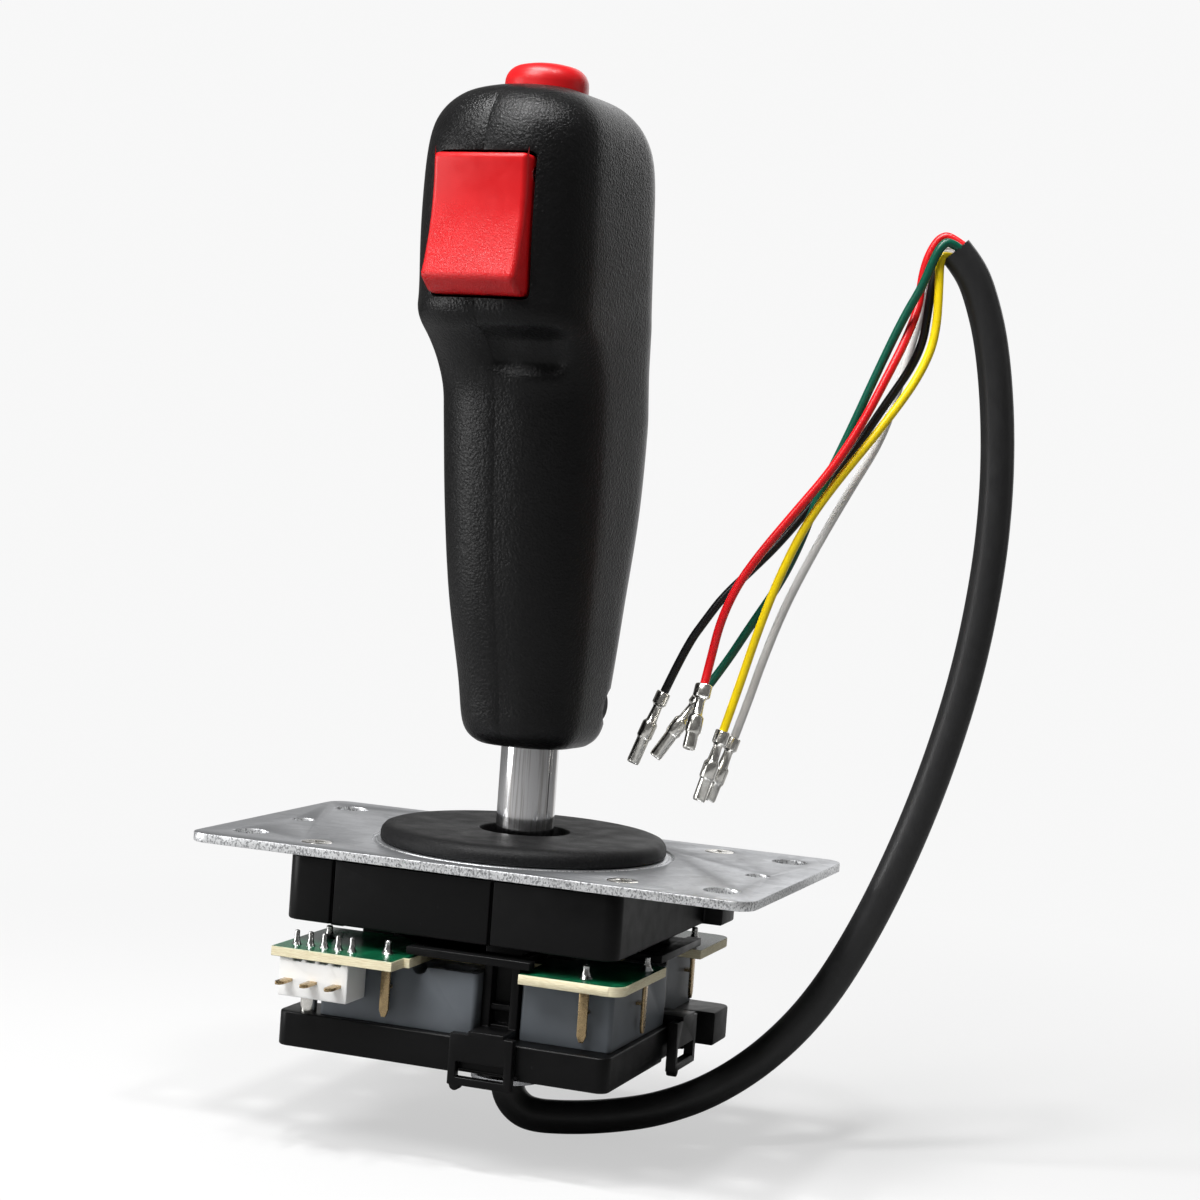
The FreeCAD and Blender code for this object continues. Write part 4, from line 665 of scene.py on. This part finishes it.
def make_materials(scene):
    """One material for each of the record's slots."""
    sizes, colours = scene.lever_sizes, scene.lever_colours
    MATERIALS.update({
        "zinc_steel": zinc_plate(colours),
        "nickel": bright_metal("nickel_plate", (0.9, 0.88, 0.83, 1.0), 0.2),
        "chrome": shaft_chrome(),
        "washer_black": washer_plastic(),
        "housing_black": base_plastic(colours),
        "grip_black": grip_plastic(sizes, colours),
        "red_plastic": red_plastic(colours),
        "grey_plastic": switch_plastic(colours),
        "board_green": board_lacquer(colours),
        "white_nylon": white_nylon(),
        "brass": bright_metal("tarnished_brass", (0.45, 0.33, 0.18, 1.0), 0.26, 0.1, 0.02),
        "spring_steel": bright_metal("spring_steel", (0.5, 0.51, 0.53, 1.0), 0.25),
        "cable_black": soft_jacket("cable_jacket_pvc", (0.014, 0.014, 0.0145, 1.0), 0.4, 0.06),
        "wire_red": soft_jacket("red_insulation", (0.7, 0.008, 0.012, 1.0), 0.3, 0.01),
        "wire_green": soft_jacket("green_insulation", (0.002, 0.085, 0.05, 1.0), 0.3, 0.01),
        "wire_black": soft_jacket("black_insulation", (0.006, 0.006, 0.0065, 1.0), 0.3, 0.01),
        "wire_yellow": soft_jacket("yellow_insulation", (0.9, 0.66, 0.004, 1.0), 0.3, 0.01),
        "wire_white": soft_jacket("white_insulation", (0.78, 0.77, 0.75, 1.0), 0.34, 0.01),
        "solder": bright_metal("solder", (0.6, 0.6, 0.59, 1.0), 0.22, 0.2, 0.05),
        "button": red_button_plastic(colours),
        # Grip screws: a near-black metal that is painted shade for the dark wells they sit deep in, not the
        # screws' own colour.
        "blackened": bright_metal("blackened_screw", (0.03, 0.03, 0.032, 1.0), 0.4),
    })


def route_point(out, up, near):
    """Point of a cord's route in the row frame."""
    across = out * math.cos(ROUTE_TURN) + near * math.sin(ROUTE_TURN)
    deep = out * math.sin(ROUTE_TURN) - near * math.cos(ROUTE_TURN)
    return Vector((across, deep, up)) * MM


def cord_curve(name, route, diameter, material):
    """Round cord on one smooth line."""
    points = [route_point(*spot) for spot in route]
    curve = bpy.data.curves.new(name, "CURVE")
    curve.dimensions = "3D"
    spline = curve.splines.new("NURBS")
    spline.points.add(len(points) - 1)
    for point, spot in zip(spline.points, points):
        point.co = (*spot, 1.0)
    spline.order_u = 3
    spline.use_endpoint_u = True
    spline.resolution_u = 10
    curve.bevel_depth = diameter / 2
    curve.bevel_resolution = 8
    curve.use_fill_caps = True
    curve.materials.append(material)
    obj = bpy.data.objects.new(name, curve)
    bpy.context.scene.collection.objects.link(obj)
    return obj, points


class PieceOperator(bpy.types.Operator):
    """Shared parts of the operators that make pieces."""

    bl_options = {"REGISTER", "UNDO"}

    def execute(self, context):
        self.make(context.scene.lever_sizes)
        clear_selection()
        return {"FINISHED"}


class LEVER_OT_cords(PieceOperator):
    """Cable and its five wires, each with its crimped socket."""

    bl_idname = "lever.cords"
    bl_label = "Cable, wires and sockets"

    def make(self, sizes):
        jacket, points = cord_curve("cable", CABLE_ROUTE, sizes.cable_diameter, MATERIALS["cable_black"])
        seat(jacket, "lever", ["cable_jacket"])
        for colour in WIRE_COLOURS:
            wire, points = cord_curve(colour + "_wire", WIRE_ROUTES[colour], sizes.wire_diameter,
                                      MATERIALS["wire_" + colour])
            seat(wire, "lever", ["wire_" + colour])
            socket = crimped_socket(colour, points[-1], route_point(*TERMINAL_TIPS[colour]))


def crimped_socket(colour, foot, tip):
    """Pin socket on a wire's end: folded crimp, neck, seam, window and open mouth."""
    length = (tip - foot).length
    end = length / MM
    profile = [*SOCKET_PROFILE, (1.12, end - 0.5), (1.06, end - 0.15), (0.95, end),
               (0.72, end), (0.72, end - 2.2)]
    obj = turned(colour + "_socket", [(radius * MM, height * MM) for radius, height in profile], 40)
    edit(obj, "VERT")
    pick(obj, "verts", lambda vertex: vertex.co.z < 2.5 * MM)
    bpy.ops.transform.resize(value=(1.18, 0.94, 1), center_override=(0, 0, 0))
    leave_edit()
    cutters = [
        block("crimp_seam", (-0.09 * MM, -2 * MM, -0.2 * MM), (0.09 * MM, -0.75 * MM, 5.2 * MM)),
        block("side_window", (-0.45 * MM, -2 * MM, 6.4 * MM), (0.45 * MM, -0.6 * MM, 8.2 * MM)),
        block("barrel_slit", (-0.12 * MM, -2 * MM, length - 2.4 * MM),
              (0.12 * MM, -0.5 * MM, length + 0.2 * MM)),
    ]
    carve(obj, cutters)
    ease_edges(obj, 0.05 * MM, 2, 50)
    direction = (tip - foot).normalized()
    obj.matrix_world = Matrix.Translation(foot) @ direction.to_track_quat("Z", "Y").to_matrix().to_4x4()
    apply_place(obj)
    return finish_piece(obj, "lever", "nickel", ["terminal_" + colour])


class LEVER_OT_plate(PieceOperator):
    """Mounting plate with its four screws."""

    bl_idname = "lever.plate"
    bl_label = "Mounting plate and screws"

    def make(self, sizes):
        plate = copy_node("mounting_plate", "zinc_plate")
        ease_edges(plate, 0.22 * MM, 2, 40)
        finish_piece(plate, "base", "zinc_steel", ["mounting_plate"])
        for place in ("front_left", "front_right", "back_right", "back_left"):
            self.screw(place)

    def screw(self, place):
        """Countersunk screw with a crossed recess."""
        node = "plate_screw_" + place
        low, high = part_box(node)
        centre = (low + high) / 2
        head = (high.x - low.x) / 2
        screw = turned("screw_" + place, [
            (1.0 * MM, low.z), (1.25 * MM, low.z + 0.4 * MM), (1.25 * MM, -1.6 * MM),
            (head, -0.22 * MM), (head, -0.08 * MM), (head - 0.12 * MM, 0.0)], 48, (centre.x, centre.y))
        arms = []
        for across, deep in ((1.35, 0.24), (0.24, 1.35)):
            arm = block("recess_arm", (-across * MM, -deep * MM, -0.8 * MM), (across * MM, deep * MM, 0.3 * MM))
            arm.location = (centre.x, centre.y, 0)
            arm.rotation_euler.z = math.radians(28)
            apply_place(arm)
            arms.append(arm)
        carve(screw, arms)
        ease_edges(screw, 0.06 * MM, 2, 50)
        finish_piece(screw, "base", "nickel", [node])


class LEVER_OT_washer(PieceOperator):
    """Loose dust washer round the shaft."""

    bl_idname = "lever.washer"
    bl_label = "Dust washer"

    def make(self, sizes):
        low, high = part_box("dust_washer")
        radius, top = high.x, high.z
        washer = turned("dust_disc", [
            (radius - 0.5 * MM, low.z), (radius - 0.1 * MM, low.z + 0.15 * MM), (radius, low.z + 0.5 * MM),
            (radius, top - 1.6 * MM), (radius - 0.2 * MM, top - 1.0 * MM), (radius - 0.7 * MM, top - 0.4 * MM),
            (radius - 1.5 * MM, top - 0.1 * MM), (radius - 2.6 * MM, top), (radius * 0.6, top)], 160)
        carve(washer, [rod("shaft_hole", (0, 0, top / 2), 7.75 * MM, 2 * top, vertices=96)])
        ease_edges(washer, 0.3 * MM, 3, 50)
        finish_piece(washer, "base", "washer_black", ["dust_washer"])


class LEVER_OT_base(PieceOperator):
    """Moulded parts of the base: housing, frame with its clips, cover and switch cases."""

    bl_idname = "lever.base"
    bl_label = "Housing, frame, cover and switch cases"

    def make(self, sizes):
        for node, name, share in (("upper_housing", "housing", 1.0), ("bottom_cover", "cover", 1.0),
                                  ("switch_frame", "frame", 0.4)):
            obj = copy_node(node, name)
            ease_edges(obj, sizes.edge_round * share, 3, 40)
            finish_piece(obj, "base", "housing_black", [node])
        for side in SIDES:
            node = "microswitch_" + side
            obj = copy_node(node, "switch_case_" + side)
            ease_edges(obj, sizes.edge_round * 0.6, 2, 40)
            finish_piece(obj, "base", "grey_plastic", [node])


class LEVER_OT_board(PieceOperator):
    """Circuit board with its connector, blades, terminal tabs and solder joints."""

    bl_idname = "lever.board"
    bl_label = "Circuit board, connector and tabs"

    def make(self, sizes):
        board = copy_node("circuit_board", "board")
        ease_edges(board, 0.08 * MM, 1, 40)
        finish_piece(board, "base", "board_green", ["circuit_board"])
        self.connector()
        for side in ("left", "middle", "right"):
            self.blade(side)
        self.leads()
        self.tabs()

    def connector(self):
        """White block under the board with four upright slots in its face."""
        low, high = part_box("connector_block")
        shell = block("connector_shell", low, high)
        width = high.x - low.x
        cutters = []
        for place in range(4):
            middle = low.x + width * (0.26 + 0.19 * place)
            cutters.append(block("slot", (middle - 0.75 * MM, low.y - 1 * MM, high.z - 0.45 * MM),
                                 (middle + 0.75 * MM, low.y + 1.2 * MM, high.z + 1 * MM)))
        carve(shell, cutters)
        ease_edges(shell, 0.22 * MM, 3, 40)
        finish_piece(shell, "base", "white_nylon", ["connector_block"])

    def blade(self, side):
        """Flat blade with a tapered tip."""
        node = "connector_blade_" + side
        low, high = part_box(node)
        taper = 0.9 * MM
        inset = 0.45 * MM
        outline = [(low.x, high.y), (low.x, low.y + taper), (low.x + inset, low.y), (high.x - inset, low.y),
                   (high.x, low.y + taper), (high.x, high.y)]
        obj = prism("blade_" + side, outline, low.z, high.z, axis=2)
        ease_edges(obj, 0.1 * MM, 2, 20)
        finish_piece(obj, "base", "brass", [node])

    def leads(self):
        """Five soldered leads in a row above the connector."""
        low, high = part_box("connector_leads")
        deep = (low.y + high.y) / 2
        first = low.x + 0.855 * MM
        step = (high.x - low.x - 1.71 * MM) / 4
        pins = [solder_pin(f"lead_{place}", (first + step * place, deep), low.z, 0.85 * MM, 0.42 * MM, high.z)
                for place in range(5)]
        finish_piece(join(pins), "base", "nickel", ["connector_leads"], material="solder")

    def tabs(self):
        """Eight brass tabs with soldered tops, modelled once for each place and turned round."""
        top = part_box("circuit_board")[1].z
        for kind in ("face", "end"):
            low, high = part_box(kind + "_tab_front")
            if kind == "face":
                across, deep = (low.x + high.x) / 2, low.y + 1.1 * MM
            else:
                across, deep = low.x + 1.1 * MM, (low.y + high.y) / 2
            pin = solder_pin(kind + "_tab_solder", (across, deep), top, 1.1 * MM, 0.55 * MM, high.z)
            blade = self.tab_blade(kind, across, deep, low.z, top)
            for turns, side in enumerate(SIDES):
                angle = turns * math.pi / 2
                tab = duplicate(blade, f"{kind}_blade_{side}")
                turn(tab, angle)
                finish_piece(tab, "base", "brass", [f"{kind}_tab_{side}"])
                tip = duplicate(pin, f"{kind}_solder_{side}")
                turn(tip, angle)
                finish_piece(tip, "base", "nickel", material="solder")
            for spare in (pin, blade):
                bpy.data.objects.remove(spare, do_unlink=True)

    def tab_blade(self, kind, across, deep, low, top):
        """Blade with a tapered end and the root that goes into its switch."""
        half, thick, taper, reach = 0.8 * MM, 0.25 * MM, 1.1 * MM, 1.2 * MM
        face = kind == "face"
        middle, centre = (across, deep) if face else (deep, across)
        outline = [(middle - half, top), (middle + half, top), (middle + half, low + taper),
                   (middle + half * 0.45, low), (middle - half * 0.45, low), (middle - half, low + taper)]
        blade = prism(kind + "_blade", outline, centre - thick, centre + thick, axis=1 if face else 0)
        root_low = low + 4.7 * MM
        root_high = root_low + 0.5 * MM
        if face:
            root = block("root", (across - half, deep, root_low), (across + half, deep + reach, root_high))
        else:
            root = block("root", (across, deep - half, root_low), (across + reach, deep + half, root_high))
        ease_edges(blade, 0.08 * MM, 2, 40)
        ease_edges(root, 0.06 * MM, 1, 40)
        return join([blade, root])


def solder_pin(name, centre, foot, spread, pin, top):
    """Lead standing in a small cone of solder."""
    rise = top - foot
    profile = [(spread, foot), (spread * 0.92, foot + rise * 0.06), (spread * 0.7, foot + rise * 0.18),
               (pin * 1.18, foot + rise * 0.36), (pin, foot + rise * 0.5), (pin, top - 0.22 * MM),
               (pin * 0.8, top - 0.07 * MM), (pin * 0.4, top)]
    return turned(name, profile, 24, centre)


def grip_rings(stations, steps):
    """Sections up the grip, with smooth ones between the stations."""
    last = len(stations) - 1
    rings = []
    for index in range(last):
        four = [stations[min(max(index + shift, 0), last)] for shift in (-1, 0, 1, 2)]
        for step in range(steps):
            share = step / steps
            ring = []
            for before, here, after, beyond in zip(*four):
                value = 2 * here + (after - before) * share
                value += (2 * before - 5 * here + 4 * after - beyond) * share ** 2
                value += (3 * here - before - 3 * after + beyond) * share ** 3
                ring.append(value / 2)
            rings.append(ring)
    rings.append(list(stations[last]))
    return rings


def grip_outline(half, front, back, corner, inset):
    """Rounded section of the grip in millimetres, as across and deep pairs, moved in by a wall."""
    half, front, back = half - inset, front - inset, back - inset
    corner = min(max(corner - inset, 1.0), half - 0.4, (front + back) / 2 - 0.4)
    centres = ((half - corner, corner - front, -90), (half - corner, back - corner, 0),
               (corner - half, back - corner, 90), (corner - half, corner - front, 180))
    outline = []
    for across, deep, start in centres:
        for step in range(GRIP_ARC_STEPS + 1):
            angle = math.radians(start + 90 * step / GRIP_ARC_STEPS)
            outline.append((across + corner * math.cos(angle), deep + corner * math.sin(angle)))
    return outline


def reshape_ring(obj, outline, following, height):
    """Move the selected ring of vertices from one outline to the next, in edit mode."""
    mesh = bmesh.from_edit_mesh(obj.data)
    for vertex in mesh.verts:
        if vertex.select:
            gaps = [(vertex.co.x / MM - across) ** 2 + (vertex.co.y / MM - deep) ** 2
                    for across, deep in outline]
            across, deep = following[gaps.index(min(gaps))]
            vertex.co = Vector((across, deep, height)) * MM
    bmesh.update_edit_mesh(obj.data)


def grip_blank(name, stations, inset, steps):
    """Grip form: a rounded section extruded up and reshaped from ring to ring."""
    rings = grip_rings(stations, steps)
    height = rings[0][0]
    outline = grip_outline(*rings[0][1:], inset)
    clear_selection()
    bpy.ops.mesh.primitive_circle_add(vertices=len(outline), radius=1, fill_type="NGON")
    obj = fresh(name)
    for vertex, (across, deep) in zip(obj.data.vertices, outline):
        vertex.co = Vector((across, deep, height)) * MM
    edit(obj, action="SELECT")
    for ring in rings[1:]:
        bpy.ops.mesh.extrude_region_move(TRANSFORM_OT_translate={"value": (0, 0, (ring[0] - height) * MM)})
        height = ring[0]
        following = grip_outline(*ring[1:], inset)
        reshape_ring(obj, outline, following, height)
        outline = following
    close_up()
    leave_edit()
    return obj


class LEVER_OT_grip(PieceOperator):
    """Two-half grip shell with its trigger window, button hole and screw wells."""

    bl_idname = "lever.grip"
    bl_label = "Grip halves and screws"

    def make(self, sizes):
        blank = grip_blank("grip_blank", GRIP_STATIONS, 0.0, 4)
        modify(blank, "SUBSURF", levels=1, render_levels=1)
        self.scoop(blank)
        low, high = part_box("top_button")
        across = (low + high) / 2
        straight = Matrix.Rotation(-GRIP_TURN, 4, "Z") @ Vector((across.x, across.y, 0))
        window_half = (TRIGGER_HALF + 0.5) * MM
        window = block("window", (-window_half, -60 * MM, (TRIGGER_BASE[1] - 0.5) * MM),
                       (window_half, -20.2 * MM, (TRIGGER_TOP[1] + 0.5) * MM))
        ease_edges(window, 1.0 * MM, 3)
        hollow_rings = [station for station in GRIP_STATIONS if 89 < station[0] < 122]
        hollow = grip_blank("hollow", hollow_rings, GRIP_WALL, 1)
        cutters = [
            window,
            hollow,
            rod("button_hole", (straight.x, straight.y, 128 * MM), 7.15 * MM, 18 * MM, vertices=80),
            rod("shaft_hole", (0, 0, 40 * MM), 5.0 * MM, 62 * MM, vertices=64),
            rod("upper_well", (-17 * MM, *UPPER_SCREW_WELL), SCREW_WELL_RADIUS, 13 * MM, "X"),
            rod("lower_well", (14 * MM, *LOWER_SCREW_WELL), SCREW_WELL_RADIUS, 12 * MM, "X"),
        ]
        for cutter in cutters:
            carve(blank, [cutter])
        for side, sign in (("left", -1), ("right", 1)):
            half = duplicate(blank, "grip_half_" + side)
            edit(half, action="SELECT")
            bpy.ops.mesh.bisect(plane_co=(0, 0, 0), plane_no=(sign, 0, 0), use_fill=True, clear_inner=True)
            leave_edit()
            ease_edges(half, sizes.seam_width, 2, 40)
            turn(half, GRIP_TURN)
            finish_piece(half, "lever", "grip_black", ["grip_" + side], 45)
        bpy.data.objects.remove(blank, do_unlink=True)

    def scoop(self, blank):
        """Deepen the finger rest under the ledge."""
        edit(blank, "VERT")
        centre = Vector((5.5, -26.0, 83.6)) * MM
        pick(blank, "verts", lambda vertex: abs(vertex.co.x - centre.x) < 5.0 * MM
             and abs(vertex.co.z - centre.z) < 1.6 * MM and vertex.co.y < -16 * MM)
        bpy.ops.transform.translate(value=(-0.6 * MM, 2.2 * MM, 0), use_proportional_edit=True,
                                    proportional_edit_falloff="SMOOTH", proportional_size=4.2 * MM)
        leave_edit()


class LEVER_OT_trigger(PieceOperator):
    """Dished trigger with its outward lip."""

    bl_idname = "lever.trigger"
    bl_label = "Trigger"

    def make(self, sizes):
        outline = [(-TRIGGER_BACK, TRIGGER_TOP[1])]
        chord = (TRIGGER_TOP[0] + TRIGGER_LIP[0]) / 2
        for step in range(TRIGGER_STEPS + 1):
            share = step / TRIGGER_STEPS
            reach = TRIGGER_TOP[0] + (TRIGGER_LIP[0] - TRIGGER_TOP[0]) * share
            height = TRIGGER_TOP[1] + (TRIGGER_LIP[1] - TRIGGER_TOP[1]) * share
            dish = (chord - TRIGGER_DISH) * 4 * share * (1 - share)
            outline.append((-(reach - dish), height))
        outline += [(-TRIGGER_BASE[0], TRIGGER_BASE[1]), (-TRIGGER_BACK, TRIGGER_BASE[1])]
        outline = [(reach * MM, height * MM) for reach, height in outline]
        trigger = prism("trigger_lever", outline, -TRIGGER_HALF * MM, TRIGGER_HALF * MM)
        carve(trigger, [rod("pin_hole", (0, -27.8 * MM, 111.4 * MM), 1.06 * MM, 20 * MM, "X", 32)])
        modify(trigger, "BEVEL", width=0.9 * MM, segments=5, limit_method="ANGLE", angle_limit=math.radians(30),
               miter_outer="MITER_SHARP", use_clamp_overlap=False)
        turn(trigger, GRIP_TURN)
        finish_piece(trigger, "trigger", "red_plastic", ["trigger"], 40)


class LEVER_OT_button(PieceOperator):
    """Round top button with a soft edge."""

    bl_idname = "lever.button"
    bl_label = "Top button"

    def make(self, sizes):
        low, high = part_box("top_button")
        centre = (low + high) / 2
        flange = high.x - centre.x
        radius = 7.0 * MM
        flange_top = low.z + 1.4 * MM
        profile = [(flange, low.z), (flange, flange_top), (radius, flange_top)]
        edge = 3.0 * MM
        for step in range(9):
            angle = step / 8 * math.pi / 2
            profile.append((radius - edge + edge * math.cos(angle),
                            high.z - 0.25 * MM - edge + edge * math.sin(angle)))
        profile += [(radius * 0.5, high.z - 0.06 * MM), (radius * 0.2, high.z)]
        button = turned("button_cap", profile, 96, (centre.x, centre.y))
        finish_piece(button, "top_button", "red_plastic", ["top_button"], 40, material="button")


class LEVER_OT_inner(PieceOperator):
    """Finishes of the CAD nodes that are shown as they are."""

    bl_idname = "lever.inner"
    bl_label = "Shaft, pivot, spring and inner parts"

    def make(self, sizes):
        for node, obj in frame["nodes"].items():
            if not obj.hide_render:
                obj.data.materials.clear()
                # Grip screws take the near-black metal, painted shade for their deep wells, in place of their
                # slot's own metal.
                finish = "blackened" if node.startswith("grip_screw") else NODE_SLOT[node]
                obj.data.materials.append(MATERIALS[finish])


class LEVER_OT_stage(bpy.types.Operator):
    """Pale floor, soft lamps, world and the camera."""

    bl_idname = "lever.stage"
    bl_label = "Floor, lamps and camera"

    def execute(self, context):
        context.scene.view_settings.view_transform = "Standard"
        self.floor()
        self.world(context.scene)
        self.lamps()
        self.camera(context.scene)
        clear_selection()
        return {"FINISHED"}

    def floor(self):
        """Wide floor that fades into the backdrop away from the object."""
        clear_selection()
        bpy.ops.mesh.primitive_circle_add(vertices=64, radius=FLOOR_RADIUS, fill_type="NGON",
                                          location=(0, 0, CAD_LOW.z - 0.1 * MM))
        obj = fresh("floor")
        apply_place(obj)
        material = bpy.data.materials.new("pale_floor")
        material.use_nodes = True
        nodes = Nodes(material.node_tree)
        nodes.tree.nodes.clear()
        paint = nodes.add("ShaderNodeBsdfDiffuse", {"Color": FLOOR_PAINT}).outputs[0]
        bounce = nodes.add("ShaderNodeBsdfDiffuse", {"Color": FLOOR_BOUNCE}).outputs[0]
        glow = nodes.add("ShaderNodeEmission", {"Color": BACKDROP}).outputs[0]
        place = nodes.add("ShaderNodeTexCoord").outputs["Object"]
        span = nodes.add("ShaderNodeVectorMath", {0: place}, operation="LENGTH").outputs["Value"]
        fade = nodes.add("ShaderNodeMapRange", {"Value": span, "From Min": FLOOR_NEAR, "From Max": FLOOR_FAR,
                                                "To Min": FLOOR_SHARE, "To Max": 0.0},
                         interpolation_type="SMOOTHSTEP").outputs[0]
        near = nodes.blend(fade, glow, paint)
        seen = seen_directly(nodes, behind(nodes, "Object"))
        nodes.add("ShaderNodeOutputMaterial", {"Surface": nodes.blend(seen, bounce, near)})
        obj.data.materials.append(material)

    def world(self, scene):
        """White where it is seen, soft grey where it lights."""
        world = bpy.data.worlds.new("studio")
        scene.world = world
        world.use_nodes = True
        nodes = Nodes(world.node_tree)
        nodes.tree.nodes.clear()
        shown = nodes.add("ShaderNodeBackground", {"Color": BACKDROP}).outputs[0]
        room = nodes.add("ShaderNodeBackground", {"Color": ROOM_LIGHT}).outputs[0]
        seen = seen_directly(nodes, behind(nodes, "Generated"))
        nodes.add("ShaderNodeOutputWorld", {"Surface": nodes.blend(seen, room, shown)})

    def lamps(self):
        for name, place, width, tall, power in LAMPS:
            bpy.ops.object.light_add(type="AREA", location=place)
            lamp = bpy.context.object
            lamp.name = name
            lamp.data.shape = "RECTANGLE"
            lamp.data.size = width
            lamp.data.size_y = tall
            lamp.data.energy = power
            lamp.rotation_mode = "QUATERNION"
            lamp.rotation_quaternion = (Vector(place) - LAMP_TARGET).to_track_quat("Z", "Y")

    def camera(self, scene):
        """Camera at the photograph's place, turned by its roll."""
        back = Vector((math.sin(CAMERA_TURN) * math.cos(CAMERA_RISE),
                       -math.cos(CAMERA_TURN) * math.cos(CAMERA_RISE), math.sin(CAMERA_RISE)))
        right = (-back).cross(Vector((0, 0, 1))).normalized()
        up = right.cross(-back)
        aside = right * math.cos(CAMERA_ROLL) + up * math.sin(CAMERA_ROLL)
        above = up * math.cos(CAMERA_ROLL) - right * math.sin(CAMERA_ROLL)
        data = bpy.data.cameras.new("photo_camera")
        data.lens = CAMERA_LENS
        data.sensor_width = 36.0
        data.clip_start = 0.01
        data.clip_end = 50.0
        camera = bpy.data.objects.new("photo_camera", data)
        scene.collection.objects.link(camera)
        turn_matrix = Matrix((aside, above, back)).transposed().to_4x4()
        spot = back * CAMERA_DISTANCE + aside * CAMERA_ASIDE + above * CAMERA_ABOVE
        camera.matrix_world = Matrix.Translation(spot) @ turn_matrix
        scene.camera = camera


def behind(nodes, kind):
    """How far the direction of a place lies behind the object, where the backdrop stands."""
    place = nodes.add("ShaderNodeTexCoord").outputs[kind]
    way = nodes.add("ShaderNodeVectorMath", {0: place}, operation="NORMALIZE").outputs[0]
    deep = nodes.add("ShaderNodeSeparateXYZ", {"Vector": way}).outputs["Y"]
    feeds = {"Value": deep, "From Min": BEHIND_START, "From Max": BEHIND_END}
    return nodes.add("ShaderNodeMapRange", feeds).outputs[0]


def seen_directly(nodes, share):
    """One for rays that show the backdrop: those of the camera, and of metal or glass by a share."""
    path = nodes.add("ShaderNodeLightPath").outputs
    shiny = nodes.math("MAXIMUM", path["Is Glossy Ray"], path["Is Transmission Ray"])
    return nodes.math("MAXIMUM", path["Is Camera Ray"], nodes.math("MULTIPLY", shiny, share))


OPERATORS = (
    LEVER_OT_stage,
    LEVER_OT_cords,
    LEVER_OT_plate,
    LEVER_OT_washer,
    LEVER_OT_base,
    LEVER_OT_board,
    LEVER_OT_grip,
    LEVER_OT_trigger,
    LEVER_OT_button,
    LEVER_OT_inner,
)


class LEVER_PT_panel(bpy.types.Panel):
    """Sidebar panel with the sizes, the colours and a button for each piece."""

    bl_idname = "LEVER_PT_panel"
    bl_label = "Lever"
    bl_space_type = "VIEW_3D"
    bl_region_type = "UI"
    bl_category = "Lever"

    def draw(self, context):
        for group in (context.scene.lever_sizes, context.scene.lever_colours):
            box = self.layout.box()
            for name in group.__annotations__:
                box.prop(group, name)
        for operator in OPERATORS:
            self.layout.operator(operator.bl_idname)


CLASSES = (LeverSizes, LeverColours, *OPERATORS, LEVER_PT_panel)


def register():
    for item in CLASSES:
        bpy.utils.register_class(item)
    bpy.types.Scene.lever_sizes = PointerProperty(type=LeverSizes)
    bpy.types.Scene.lever_colours = PointerProperty(type=LeverColours)


def unregister():
    del bpy.types.Scene.lever_colours
    del bpy.types.Scene.lever_sizes
    for item in reversed(CLASSES):
        bpy.utils.unregister_class(item)


def main():
    register()
    make_materials(bpy.context.scene)
    for operator in OPERATORS:
        group, name = operator.bl_idname.split(".")
        result = getattr(getattr(bpy.ops, group), name)()
        if "FINISHED" not in result:
            raise RuntimeError(f"{operator.bl_idname} did not finish")


if __name__ == "__main__":
    main()
